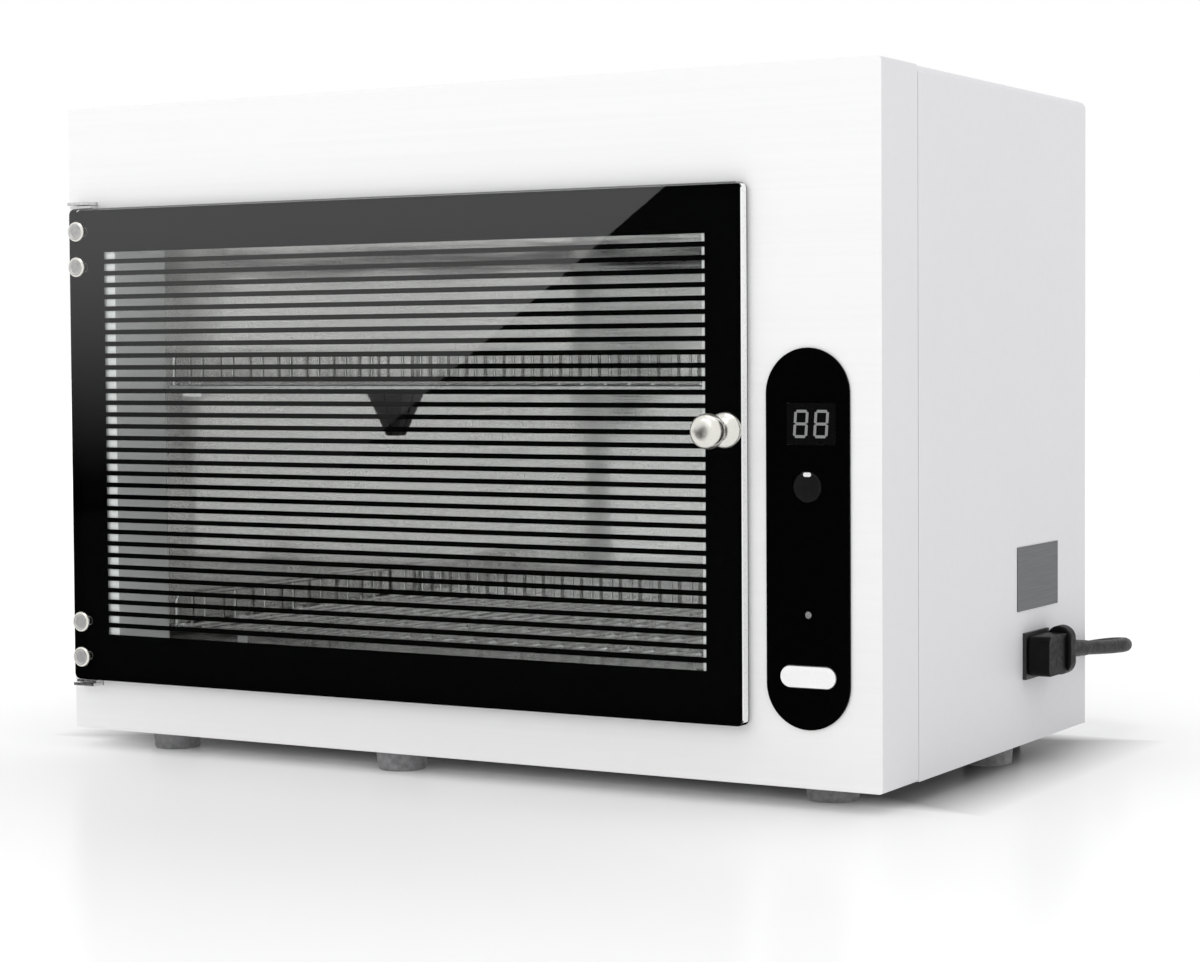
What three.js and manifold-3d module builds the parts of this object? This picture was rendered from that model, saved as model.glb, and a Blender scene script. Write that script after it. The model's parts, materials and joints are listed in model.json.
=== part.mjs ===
// Ultraviolet sterilizer cabinet: a sheet-steel box with a striped glass door, two wire baskets in a
// polished chamber, a control panel, and a mains lead. Millimetres, +Z up, the door faces -Y.
// Sizes are first given in the cabinet's own frame: x = 0 at mid width, y = 0 at the front face of the
// frame, z = 0 at the underside of the base. The whole group is then moved so that its origin is at the
// middle of the footprint on the surface that the feet stand on.

import * as THREE from 'three';
import { mergeVertices } from 'three/addons/utils/BufferGeometryUtils.js';
import Module from 'manifold-3d';

const wasm = await Module();
wasm.setup();

// Driving dimensions of the cabinet
const cabinetWidth = 427;
const cabinetDepth = 242;
const cabinetHeight = 300;
const sheet = 1.2; // painted sheet steel
const cornerRadius = 4; // folded edges of the outer shell
const frameDepth = 37; // flanges of the front frame
const frameFoldRadius = 1.5;
const footHeight = 9;

// Clearances
const fit = 0.2; // between pieces that are fastened together
const touch = 0.1; // between flat faces that rest on each other
const runningFit = 0.35; // round what moves
const overrun = 5; // how far a cutting tool runs past a face

// Door
const doorInsetLeft = 5; // from the cabinet's left edge
const doorInsetRight = 60;
const doorInsetTop = 48.6;
const doorBottom = 24.7;
const glassThickness = 5;
const doorGap = 1.6; // from the frame to the back of the glass
const doorCorner = 3;
const printGap = 0.05;
const printThickness = 0.2;
const printInset = 0.5;
const borderLeft = 17.2;
const borderRight = 19.9;
const borderTop = 20.8;
const borderBottom = 21.8;
const gapCount = 33; // clear gaps in the striped window
const stripeHeight = 2.25; // black stripe between two gaps

// Opening of the front frame, and the chamber behind it
const openingInsetLeft = 27.7;
const openingInsetRight = 82;
const openingInsetTop = 59;
const openingBottom = 36;
const linerSheet = 1;
const linerStep = 0.5; // liner faces stand this far inside the frame's return
const linerBackGap = 1.8; // from the rear panel to the liner's back

// Baskets
const wire = 1.8;
const railWire = 3;
const basketWall = 19;
const basketFrontGap = 1; // from the frame's flange to the front rail, forwards
const basketSideGap = 3;
const basketBackGap = 4;
const wirePitchAcross = 12;
const wirePitchDeep = 24.75;
const upperBasketDrop = 77.5; // from the opening's top to the basket's underside
const lowerBasketRise = 8.5; // above the opening's lower edge

// Controls
const panelWidth = 38;
const panelHeight = 158;
const panelThickness = 0.8;
const panelCentreInset = 32.9; // from the cabinet's right edge
const panelBottom = 24.4;
const displayWidth = 22;
const displayHeight = 17;
const displayFromTop = 31.4; // from the panel's top to the middle of the display
const displayShift = 1.6; // from the panel's middle line, to the right
const timerDiameter = 12.5;
const timerPitch = 26; // from the display down to the timer button
const powerWidth = 25;
const powerHeight = 8.8;
const powerFromBottom = 22; // from the panel's lower end
const indicatorDiameter = 3;
const indicatorPitch = 25.7; // from the power button up to the indicator
const buttonTravel = 0.8;
const buttonProud = 0.5;

// Mains side
const inletFromBack = 69;
const inletZ = 40.5;
const cordDiameter = 6.8;

// Colours and finishes
const finish = (color, roughness, metalness, extra = {}) =>
  new THREE.MeshStandardMaterial({ color, roughness, metalness, ...extra });
const whitePaint = finish(0xededee, 0.42, 0);
const sidePaint = finish(0xdcdce0, 0.5, 0);
const polishedSteel = finish(0xb9b9bb, 0.18, 1);
const brightSteel = finish(0xcfcfce, 0.25, 1);
const clearGlass = finish(0xdfe6e4, 0.03, 0, { transparent: true, opacity: 0.25 });
const blackPrint = finish(0x0b0b0c, 0.2, 0);
const blackAcrylic = finish(0x050506, 0.12, 0);
const blackPlastic = finish(0x141415, 0.45, 0);
const darkPlastic = finish(0x2c2c2e, 0.4, 0);
const whitePlastic = finish(0xf6f6f6, 0.35, 0);
const greyLight = finish(0x8d8f90, 0.4, 0);
const greyRubber = finish(0x8b8c8e, 0.8, 0);
const silverLabel = finish(0x97999c, 0.4, 0.3);
const boardGreen = finish(0x1f5a38, 0.6, 0);
const lampGlass = finish(0xe9eef0, 0.1, 0, { transparent: true, opacity: 0.6 });
const ballastGrey = finish(0x75787c, 0.5, 0.6);

// Shape helpers

// Leaves only the vertices and triangles of a closed body, with its faces pointing out.
function closedBody(geometry) {
  let body = geometry.clone();
  body.deleteAttribute('normal');
  body.deleteAttribute('uv');
  body = mergeVertices(body, weldTolerance);
  const kept = [];
  const index = body.index.array;
  for (let i = 0; i < index.length; i += 3) {
    const [a, b, c] = [index[i], index[i + 1], index[i + 2]];
    if (a !== b && b !== c && c !== a) kept.push(a, b, c);
  }
  body.setIndex(kept);
  if (volumeOf(body) < 0) {
    for (let i = 0; i < kept.length; i += 3) [kept[i], kept[i + 1]] = [kept[i + 1], kept[i]];
    body.setIndex(kept);
  }
  return body;
}

function volumeOf(body) {
  const corners = [new THREE.Vector3(), new THREE.Vector3(), new THREE.Vector3()];
  const place = body.attributes.position;
  let sum = 0;
  for (let i = 0; i < body.index.count; i += 3) {
    corners.forEach((corner, k) => corner.fromBufferAttribute(place, body.index.getX(i + k)));
    sum += corners[0].dot(corners[1].clone().cross(corners[2]));
  }
  return sum;
}

function toManifold(geometry) {
  const body = closedBody(geometry);
  return new wasm.Manifold(new wasm.Mesh({
    numProp: 3,
    vertProperties: new Float32Array(body.attributes.position.array),
    triVerts: new Uint32Array(body.index.array),
  }));
}

function fromManifold(solid) {
  const result = solid.getMesh();
  const geometry = new THREE.BufferGeometry();
  geometry.setAttribute('position', new THREE.BufferAttribute(new Float32Array(result.vertProperties), 3));
  geometry.setIndex([...result.triVerts]);
  return geometry;
}

const join = (first, ...others) =>
  fromManifold(others.reduce((sum, other) => sum.add(toManifold(other)), toManifold(first)));
const cut = (first, ...others) =>
  fromManifold(others.reduce((sum, other) => sum.subtract(toManifold(other)), toManifold(first)));

function box(x0, x1, y0, y1, z0, z1) {
  const geometry = new THREE.BoxGeometry(x1 - x0, y1 - y0, z1 - z0);
  return geometry.translate((x0 + x1) / 2, (y0 + y1) / 2, (z0 + z1) / 2);
}

// A rectangle with rounded corners as an outline round (cx, cy).
function roundedRectangle(cx, cy, width, height, radius, kind = THREE.Shape) {
  const outline = new kind();
  const [x0, x1, y0, y1] = [cx - width / 2, cx + width / 2, cy - height / 2, cy + height / 2];
  outline.moveTo(x0 + radius, y0);
  outline.lineTo(x1 - radius, y0);
  outline.absarc(x1 - radius, y0 + radius, radius, -Math.PI / 2, 0, false);
  outline.lineTo(x1, y1 - radius);
  outline.absarc(x1 - radius, y1 - radius, radius, 0, Math.PI / 2, false);
  outline.lineTo(x0 + radius, y1);
  outline.absarc(x0 + radius, y1 - radius, radius, Math.PI / 2, Math.PI, false);
  outline.lineTo(x0, y0 + radius);
  outline.absarc(x0 + radius, y0 + radius, radius, Math.PI, Math.PI * 1.5, false);
  return outline;
}

function rectangle(x0, x1, y0, y1, kind = THREE.Shape) {
  return polygon([[x0, y0], [x1, y0], [x1, y1], [x0, y1]], kind);
}

function polygon(points, kind = THREE.Shape) {
  return new kind(points.map(([x, y]) => new THREE.Vector2(x, y)));
}

function circle(cx, cy, radius, kind = THREE.Shape) {
  const outline = new kind();
  outline.absarc(cx, cy, radius, 0, Math.PI * 2, false);
  return outline;
}

const extrude = (outline, depth, curveSegments) =>
  new THREE.ExtrudeGeometry(outline, { depth, bevelEnabled: false, curveSegments });

// The outline lies in x and z, and runs from y0 to y1.
const alongY = (outline, y0, y1, curveSegments = 6) =>
  extrude(outline, y1 - y0, curveSegments).rotateX(Math.PI / 2).translate(0, y1, 0);
// The outline lies in x and y, and runs from z0 to z1.
const alongZ = (outline, z0, z1, curveSegments = 6) =>
  extrude(outline, z1 - z0, curveSegments).translate(0, 0, z0);
// The outline lies in y and z, and runs from x0 to x1.
const turnToX = new THREE.Matrix4().makeBasis(
  new THREE.Vector3(0, 1, 0), new THREE.Vector3(0, 0, 1), new THREE.Vector3(1, 0, 0));
const alongX = (outline, x0, x1, curveSegments = 6) =>
  extrude(outline, x1 - x0, curveSegments).applyMatrix4(turnToX).translate(x0, 0, 0);

// Turned bodies: the profile is a list of [radius, height] pairs that starts and ends on the axis.
const turned = (profile, sides) =>
  new THREE.LatheGeometry(profile.map(([r, h]) => new THREE.Vector2(r, h)), sides);
const turnedUp = (profile, x, y, z, sides = 20) =>
  turned(profile, sides).rotateX(Math.PI / 2).translate(x, y, z);
const turnedForward = (profile, x, y, z, sides = 20) =>
  turned(profile, sides).rotateX(Math.PI).translate(x, y, z);

// A pan-head screw as a profile: head height h0, head radius r0, shank to depth.
const screwProfile = (headRadius, headHeight, shankRadius, shankLength) => [
  [0, -shankLength], [shankRadius, -shankLength], [shankRadius, 0], [headRadius, 0],
  [headRadius, headHeight * screwEdgeShare], [headRadius * screwCrownShare, headHeight], [0, headHeight]];
const screwEdgeShare = 0.5;
const screwCrownShare = 0.6;
const weldTolerance = 0.0001;

const assembly = new THREE.Group();
function add(name, geometry, material) {
  const mesh = new THREE.Mesh(closedBody(geometry), material);
  mesh.name = name;
  assembly.add(mesh);
}

// Places that several pieces share
const left = -cabinetWidth / 2;
const right = cabinetWidth / 2;
const openingLeft = left + openingInsetLeft;
const openingRight = right - openingInsetRight;
const openingTop = cabinetHeight - openingInsetTop;
const linerLeft = openingLeft + linerStep;
const linerRight = openingRight - linerStep;
const linerFloor = openingBottom + linerStep;
const linerCeiling = openingTop - linerStep;
const linerBack = cabinetDepth - sheet - linerBackGap - linerSheet;
const upperBasketBottom = openingTop - upperBasketDrop;
const lowerBasketBottom = openingBottom + lowerBasketRise;
const panelX = right - panelCentreInset;
const panelZ = panelBottom + panelHeight / 2;
const displayX = panelX + displayShift;
const displayCentreZ = panelBottom + panelHeight - displayFromTop;
const timerZ = displayCentreZ - timerPitch;
const powerZ = panelBottom + powerFromBottom;
const indicatorZ = powerZ + indicatorPitch;
const inletY = cabinetDepth - inletFromBack;
const doorLeft = left + doorInsetLeft;
const doorRight = right - doorInsetRight;
const doorTop = cabinetHeight - doorInsetTop;
const doorHeight = doorTop - doorBottom;
const glassBack = -doorGap;
const glassFront = glassBack - glassThickness;

// Hinge: a pin above and below the glass, on a vertical axis inside the glass thickness
const hingeInset = 2.8; // from the door's left edge to the pin
const hingeAxisX = doorLeft + hingeInset;
const hingeAxisY = glassBack - glassThickness / 2;
const hingePinDiameter = 2;
const hingeTab = 1.2; // thickness of the clamp's tab over the glass edge
const hingeBracketTab = 1.5;
const hingeGap = 0.3;
const hingeClampPlate = 0.9;
const hingeClampWidth = 10.5; // from the axis to the clamp's right edge
const hingeClampHeight = 34;
const hingeClampHeel = 0.5; // plate reaches this far left of the axis
const hingeTabHeel = 1.8;
const bracketLeft = 3; // bracket's tab left of the axis
const bracketRight = 9.5;
const bracketLeaf = 15;
const bracketFront = 0.6; // tab stands this far in front of the glass
const capDiameter = 9.7;
const capHeight = 1.5;
const capInset = 5.1; // from the door's left edge
const capShank = 4;
const capCrownShare = 0.8;
const capFromEnd = 10.9;
const capPitch = 17;

// Knob and catch
const knobInset = 7.6; // from the door's right edge
const knobAboveMiddle = 10.25; // above the middle of the door
const knobRadius = 7.6;
const knobLength = 21;
const knobStud = 4;
const strikeWidth = 12;
const strikeHeight = 26;
const strikeThickness = 0.8;
const magnetWidth = 9;
const magnetHeight = 22;
const magnetDepth = 12;
const knobX = doorRight - knobInset;
const knobZ = doorBottom + doorHeight / 2 + knobAboveMiddle;

// Sensor: a reed switch in the frame and its magnet on the door
const sensorFromTop = 46.4; // from the door's top
const sensorWidth = 8;
const sensorHeight = 20;
const sensorDepth = 10;
const sensorMagnetThickness = 0.8;
const sensorZ = doorTop - sensorFromTop;

// Cabinet shell
const seam = 0.6; // open joint between the frame and the shell
const flangeWidth = 12; // inward flanges of the shell
const lipFront = 6; // the base's lip reaches this near to the front face
const seamY = frameDepth + seam;

// Places of the hinge tabs: side 1 is above the door, side -1 below it
const pastDoor = (side, distance) => (side > 0 ? doorTop + distance : doorBottom - distance);
const span = (a, b) => [Math.min(a, b), Math.max(a, b)];
const clampTab = (side) => span(pastDoor(side, fit), pastDoor(side, fit + hingeTab));
const bracketTab = (side) => {
  const near = fit + hingeTab + hingeGap;
  return span(pastDoor(side, near), pastDoor(side, near + hingeBracketTab));
};

// Feet and the fasteners of the base and the rear panel
const footRadius = 11.75;
const footTaper = 0.7;
const footEdge = 0.8;
const footRecess = 4;
const footBoreRadius = 5;
const footScrewRadius = 2;
const footSides = 16;
const screwTail = 2.5; // shank left past the sheets
const footInsetLeft = 45.7;
const footInsetMiddle = 181; // from the left edge
const footInsetRight = 36;
const footInsetSide = 15.5; // from the right edge
const footFrontLeft = 21; // from the front face
const footFrontMiddle = 15;
const footFrontRight = 30;
const footSideFromBack = 88;
const footFromBack = 24;
const footPlaces = {
  foot_front_left: [left + footInsetLeft, footFrontLeft],
  foot_front_middle: [left + footInsetMiddle, footFrontMiddle],
  foot_front_right: [right - footInsetRight, footFrontRight],
  foot_side_right: [right - footInsetSide, cabinetDepth - footSideFromBack],
  foot_rear_left: [left + footInsetLeft, cabinetDepth - footFromBack],
  foot_rear_right: [right - footInsetRight, cabinetDepth - footFromBack],
};
const baseScrewInset = 6.5;
const baseScrewFromFront = 62;
const baseScrewFromBack = 60;
const baseScrewHeadRadius = 3;
const baseScrewHead = 1.4;
const smallScrewRadius = 1.6;
const baseScrewPlaces = [baseScrewFromFront, cabinetDepth - baseScrewFromBack].flatMap((y) =>
  [[left + baseScrewInset, y], [right - baseScrewInset, y]]);
const rearScrewInset = 7;
const rearScrewEnd = 30; // from the underside and from the top
const rearScrewPlaces = [rearScrewEnd, cabinetHeight / 2, cabinetHeight - rearScrewEnd].flatMap((z) =>
  [[left + rearScrewInset, z], [right - rearScrewInset, z]]);

const panelCentre = [panelX, panelZ];
const powerOutline = (grow, kind = THREE.Shape) =>
  roundedRectangle(panelX, powerZ, powerWidth + 2 * grow, powerHeight + 2 * grow,
    powerHeight / 2 + grow, kind);

function frontFrame() {
  const skin = alongY(roundedRectangle(0, cabinetHeight / 2, cabinetWidth, cabinetHeight, frameFoldRadius),
    0, frameDepth, 3);
  const inside = alongY(rectangle(left + sheet, right - sheet, sheet, cabinetHeight - sheet), sheet,
    frameDepth + overrun);
  const collar = box(openingLeft - sheet, openingRight + sheet, sheet / 2, frameDepth,
    openingBottom - sheet, openingTop + sheet);
  const through = [-overrun, sheet + overrun];
  const opening = box(openingLeft, openingRight, -overrun, frameDepth + overrun, openingBottom, openingTop);
  const hingeSlots = [1, -1].map((side) => {
    const [z0, z1] = bracketTab(side);
    return box(hingeAxisX - bracketLeft - fit, hingeAxisX + bracketRight + fit, ...through,
      z0 - fit, z1 + fit);
  });
  const holes = [
    box(displayX - displayWidth / 2 - fit, displayX + displayWidth / 2 + fit, ...through,
      displayCentreZ - displayHeight / 2 - fit, displayCentreZ + displayHeight / 2 + fit),
    alongY(circle(panelX, timerZ, timerDiameter / 2 + runningFit), ...through, 10),
    alongY(circle(panelX, indicatorZ, indicatorDiameter / 2 + fit), ...through, 6),
    alongY(powerOutline(runningFit), ...through, 4),
    box(knobX - magnetWidth / 2 - fit, knobX + magnetWidth / 2 + fit, ...through,
      knobZ - magnetHeight / 2 - fit, knobZ + magnetHeight / 2 + fit),
    ...screwHoles(Object.values(footPlaces), footScrewRadius),
  ];
  return cut(join(cut(skin, inside), collar), opening, ...hingeSlots, ...holes);
}

// Upright holes through the base sheets
const screwHoles = (places, radius) => places.map(([x, y]) =>
  alongZ(circle(x, y, radius + fit), -overrun, 2 * sheet + overrun, 5));

// Top and both sides in one sheet, with flanges for the base and the rear panel
function shellOutline(inset) {
  const outline = new THREE.Shape();
  const [x0, x1, top, r] = [left + inset, right - inset, cabinetHeight - inset, cornerRadius - inset];
  outline.moveTo(x0, 0);
  outline.lineTo(x1, 0);
  outline.lineTo(x1, top - r);
  outline.absarc(x1 - r, top - r, r, 0, Math.PI / 2, false);
  outline.lineTo(x0 + r, top);
  outline.absarc(x0 + r, top - r, r, Math.PI / 2, Math.PI, false);
  return outline;
}

const inletFlangeWidth = 30;
const inletFlangeHeight = 21.4;
const inletFlange = 1.6;
const inletBodyWidth = 27;
const inletBodyHeight = 18.4;
const inletBodyDepth = 20;
const inletMouthWidth = 24.6;
const inletMouthHeight = 15.8;
const inletMouthDepth = 15;
const inletPin = [6, 2, 4]; // length, width and height of a pin
const inletPinPitch = 7;
function outerShell() {
  const sleeve = cut(alongY(shellOutline(0), seamY, cabinetDepth, 3),
    alongY(shellOutline(sheet), seamY - overrun, cabinetDepth + overrun, 3),
    box(left + sheet, right - sheet, seamY - overrun, cabinetDepth + overrun, -overrun, cornerRadius));
  const rearY = cabinetDepth - sheet - fit;
  const flanges = [-1, 1].flatMap((side) => {
    const [x0, x1] = span(side * (cabinetWidth / 2 - sheet / 2),
      side * (cabinetWidth / 2 - sheet - flangeWidth));
    return [box(x0, x1, seamY + 2 * sheet, rearY, sheet + fit, 2 * sheet + fit),
      box(x0, x1, rearY - sheet, rearY, sheet + fit, cabinetHeight - cornerRadius)];
  });
  const inletHole = box(right - sheet - overrun, right + overrun, inletY - inletBodyWidth / 2 - fit,
    inletY + inletBodyWidth / 2 + fit,
    inletZ - inletBodyHeight / 2 - fit, inletZ + inletBodyHeight / 2 + fit);
  const rearHoles = rearScrewPlaces.map(([x, z]) =>
    alongY(circle(x, z, smallScrewRadius + fit), rearY - sheet - overrun, rearY + overrun, 5));
  return cut(join(sleeve, ...flanges), inletHole, ...rearHoles,
    ...screwHoles(baseScrewPlaces, smallScrewRadius));
}

// The base steps up behind the frame's lower flange and lies on it
function basePanel() {
  const lip = sheet + fit;
  const rearY = cabinetDepth - sheet - fit;
  const profile = polygon([[seamY, 0], [rearY, 0], [rearY, sheet], [seamY + sheet, sheet],
    [seamY + sheet, lip + sheet], [lipFront, lip + sheet], [lipFront, lip], [seamY, lip]]);
  return cut(alongX(profile, left + sheet + fit, right - sheet - fit),
    ...screwHoles(Object.values(footPlaces), footScrewRadius),
    ...screwHoles(baseScrewPlaces, smallScrewRadius));
}

const ventCount = 9;
const ventWidth = 46;
const ventHeight = 4;
const ventPitch = 14;
const ventInset = 42; // from the right edge to the middle of the vents
const ventBottom = 95;
function rearPanel() {
  const plate = shellOutline(sheet + fit);
  for (let i = 0; i < ventCount; i += 1) {
    const z = ventBottom + i * ventPitch;
    plate.holes.push(rectangle(right - ventInset - ventWidth / 2, right - ventInset + ventWidth / 2, z,
      z + ventHeight, THREE.Path));
  }
  for (const [x, z] of rearScrewPlaces) plate.holes.push(circle(x, z, smallScrewRadius + fit, THREE.Path));
  return alongY(plate, cabinetDepth - sheet, cabinetDepth, 3);
}

// Ribs in its floor carry the lower basket, and a ledge in each side the front of the upper one
const ribWidth = 6;
const ribInset = 30; // from the side walls
const ribEnd = 20; // from the front and the back
const ledgeWidth = 7;
const ledgeReach = 6;
const ledgeHeight = 3;
function chamberLiner() {
  const y0 = frameDepth + fit;
  const outside = box(linerLeft - linerSheet, linerRight + linerSheet, y0, linerBack + linerSheet,
    linerFloor - linerSheet, linerCeiling + linerSheet);
  const hollow = cut(outside, box(linerLeft, linerRight, y0 - overrun, linerBack, linerFloor, linerCeiling));
  const ribs = [linerLeft + ribInset, linerRight - ribInset].map((x) =>
    box(x - ribWidth / 2, x + ribWidth / 2, frameDepth + ribEnd, linerBack - ribEnd,
      linerFloor - linerSheet / 2, lowerBasketBottom - fit));
  const ledgeY = frameDepth - basketFrontGap + wirePitchDeep; // under a wire of the basket
  const ledgeTop = upperBasketBottom - fit;
  const ledges = [[linerLeft - linerSheet / 2, linerLeft + ledgeReach],
    [linerRight - ledgeReach, linerRight + linerSheet / 2]].map(([x0, x1]) =>
    box(x0, x1, ledgeY - ledgeWidth / 2, ledgeY + ledgeWidth / 2, ledgeTop - ledgeHeight, ledgeTop));
  return join(hollow, ...ribs, ...ledges);
}

function foot([x, y]) {
  const hole = footScrewRadius + fit;
  const ring = [[hole, -touch], [footRadius, -touch], [footRadius - footTaper, footEdge - footHeight],
    [footRadius - footTaper - footEdge, -footHeight], [footBoreRadius, -footHeight],
    [footBoreRadius, footRecess - footHeight],
    [hole, footRecess - footHeight], [hole, -touch]];
  return turnedUp(ring, x, y, 0, footSides);
}

add('front_frame', frontFrame(), whitePaint);
add('outer_shell', outerShell(), sidePaint);
add('base_panel', basePanel(), sidePaint);
add('rear_panel', rearPanel(), sidePaint);
add('chamber_liner', chamberLiner(), polishedSteel);
for (const [name, place] of Object.entries(footPlaces)) add(name, foot(place), greyRubber);
baseScrewPlaces.forEach(([x, y], i) => {
  const shank = 2 * sheet + fit + screwTail;
  const profile = screwProfile(baseScrewHeadRadius, baseScrewHead, smallScrewRadius, shank)
    .map(([r, h]) => [r, -h]);
  add(`base_screw_${i + 1}`, turnedUp(profile, x, y, -touch, 12), brightSteel);
});

// Chamber fittings
const bracketSize = 13;
const bracketDrop = 28;
const bracketTipShare = 0.3;
const wireEnd = 0.4; // wires end this far above the rim
const weld = 0.3; // depth of a weld of two wires
const crossing = 0.1; // between wires that cross

// A tray of bent wires: floor wires from front to back rise at the back, floor wires across rise at both
// sides, and a rim runs round the inside of the risen ends. The front has only its rail.
function basket(z0) {
  const z1 = z0 + basketWall;
  const [x0, x1] = [linerLeft + basketSideGap, linerRight - basketSideGap];
  const [y0, y1] = [frameDepth - basketFrontGap, linerBack - basketBackGap];
  const wires = [];
  for (let y = y0 + wirePitchDeep; y < y1 - wirePitchDeep / 2; y += wirePitchDeep) {
    const bent = polygon([[x0, z0], [x1, z0], [x1, z1], [x1 - wire, z1], [x1 - wire, z0 + wire],
      [x0 + wire, z0 + wire], [x0 + wire, z1], [x0, z1]]);
    wires.push(alongY(bent, y - wire / 2, y + wire / 2));
  }
  const [upper, start] = [z0 + wire + crossing, y0 + railWire - weld];
  const bentBack = polygon([[start, upper], [y1, upper], [y1, z1], [y1 - wire, z1],
    [y1 - wire, upper + wire], [start, upper + wire]]);
  const across = Math.floor((x1 - x0 - 4 * wire) / wirePitchAcross);
  for (let i = 0; i <= across; i += 1) {
    const x = (x0 + x1) / 2 + (i - across / 2) * wirePitchAcross;
    wires.push(alongX(bentBack, x - wire / 2, x + wire / 2));
  }
  const [r0, r1, rBack, rTop] = [x0 + wire - weld, x1 - wire + weld, y1 - wire + weld, z1 - wireEnd];
  wires.push(alongZ(polygon([[r0, y0], [r0 + wire, y0], [r0 + wire, rBack - wire], [r1 - wire, rBack - wire],
    [r1 - wire, y0], [r1, y0], [r1, rBack], [r0, rBack]]), rTop - wire, rTop));
  for (const x of [r0, r1 - wire]) {
    wires.push(box(x, x + wire, y0, y0 + wire, z0 + railWire - weld, rTop - wire / 2));
  }
  return join(box(x0, x1, y0, y0 + railWire, z0, z0 + railWire), ...wires);
}

// A tapered block in a rear corner: side -1 is the left corner
function shelfBracket(side) {
  const cornerX = side < 0 ? linerLeft + fit : linerRight - fit;
  const cornerY = linerBack - fit;
  const top = upperBasketBottom - fit;
  const block = box(...span(cornerX, cornerX - side * bracketSize), cornerY - bracketSize, cornerY,
    top - bracketDrop, top);
  const place = block.attributes.position;
  for (let i = 0; i < place.count; i += 1) {
    if (place.getZ(i) < top - bracketDrop / 2) {
      place.setX(i, cornerX + (place.getX(i) - cornerX) * bracketTipShare);
      place.setY(i, cornerY + (place.getY(i) - cornerY) * bracketTipShare);
    }
  }
  return block;
}

// Ultraviolet lamp under the ceiling by the right wall
const lampLength = 136;
const lampRadius = 7.75;
const lampCapLength = 8;
const lampCapRadius = 8;
const lampInsetX = 14; // from the right wall to the lamp's axis
const lampDrop = 13; // from the ceiling to the lamp's axis
const holderWidth = 18;
const holderThickness = 11;
const holderHeight = 22;
const lampX = linerRight - lampInsetX;
const lampZ = linerCeiling - lampDrop;
const lampY = (frameDepth + linerBack) / 2;
const rod = (radius, length, sides) => new THREE.CylinderGeometry(radius, radius, length, sides);
const lamp = () => join(rod(lampRadius, lampLength - lampCapLength, 20).translate(lampX, lampY, lampZ),
  ...[-1, 1].map((end) => rod(lampCapRadius, lampCapLength, 20)
    .translate(lampX, lampY + end * (lampLength - lampCapLength) / 2, lampZ)));
function lampHolder(end) {
  const near = lampY + end * (lampLength / 2 + fit);
  return box(lampX - holderWidth / 2, lampX + holderWidth / 2, ...span(near, near + end * holderThickness),
    linerCeiling - fit - holderHeight, linerCeiling - fit);
}

add('upper_basket', basket(upperBasketBottom), brightSteel);
add('lower_basket', basket(lowerBasketBottom), brightSteel);
add('shelf_bracket_left', shelfBracket(-1), blackPlastic);
add('shelf_bracket_right', shelfBracket(1), blackPlastic);
add('lamp_tube', lamp(), lampGlass);
add('lamp_holder_front', lampHolder(-1), whitePlastic);
add('lamp_holder_rear', lampHolder(1), whitePlastic);

// Control panel and what lies behind it
const panelGlue = 0.1;
const panelFront = -panelGlue - panelThickness;
const moduleWidth = 21;
const moduleHeight = 19;
const boardY = 10;
const boardThickness = 1.6;
const boardWidth = 33;
const boardMargin = 6; // panel height left free above and below the board
const postRadius = 2.4;
const postInset = 14; // from the panel's middle line
const postMargin = 12.5; // from the panel's ends
const carrierBar = 3;
const boardHoleRadius = 1.3;
const buttonFlange = 1.2;
const buttonFlangeDepth = 0.8;
const buttonStem = 2;
const buttonStemLength = 2;
const buttonEdge = 0.3;
const switchSize = 6;
const switchPlunger = 1.7;
const switchBody = 3.4;

function controlPanel() {
  const plate = roundedRectangle(...panelCentre, panelWidth, panelHeight, panelWidth / 2);
  plate.holes.push(rectangle(displayX - displayWidth / 2 - fit, displayX + displayWidth / 2 + fit,
    displayCentreZ - displayHeight / 2 - fit, displayCentreZ + displayHeight / 2 + fit, THREE.Path));
  plate.holes.push(circle(panelX, timerZ, timerDiameter / 2 + runningFit, THREE.Path));
  plate.holes.push(circle(panelX, indicatorZ, indicatorDiameter / 2 + fit, THREE.Path));
  plate.holes.push(powerOutline(runningFit, THREE.Path));
  return alongY(plate, panelFront, -panelGlue, 8);
}

const buttonFront = panelFront - buttonProud;
const flangeFront = sheet + fit;
const flangeBack = flangeFront + buttonFlangeDepth;
const stemEnd = flangeBack + buttonStemLength;
const switchTop = stemEnd + buttonTravel + fit;

function timerButton() {
  const r = timerDiameter / 2;
  return turnedForward([[0, -stemEnd], [buttonStem, -stemEnd], [buttonStem, -flangeBack],
    [r + buttonFlange, -flangeBack], [r + buttonFlange, -flangeFront], [r, -flangeFront],
    [r, -buttonFront - buttonEdge], [r - buttonEdge, -buttonFront], [0, -buttonFront]],
    panelX, 0, timerZ, 24);
}

function powerButton() {
  const stem = turnedForward([[0, -stemEnd], [buttonStem, -stemEnd], [buttonStem, buttonEdge - flangeBack],
    [0, buttonEdge - flangeBack]], panelX, 0, powerZ, 12);
  return join(alongY(powerOutline(0), buttonFront, flangeBack, 5), stem,
    alongY(powerOutline(buttonFlange), flangeFront, flangeBack, 5));
}

const pushSwitch = (z) => join(
  box(panelX - switchSize / 2, panelX + switchSize / 2, boardY - fit - switchBody, boardY - fit,
    z - switchSize / 2, z + switchSize / 2),
  rod(switchPlunger, boardY - switchBody - switchTop, 12)
    .translate(panelX, (boardY - switchBody + switchTop) / 2, z));

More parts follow.
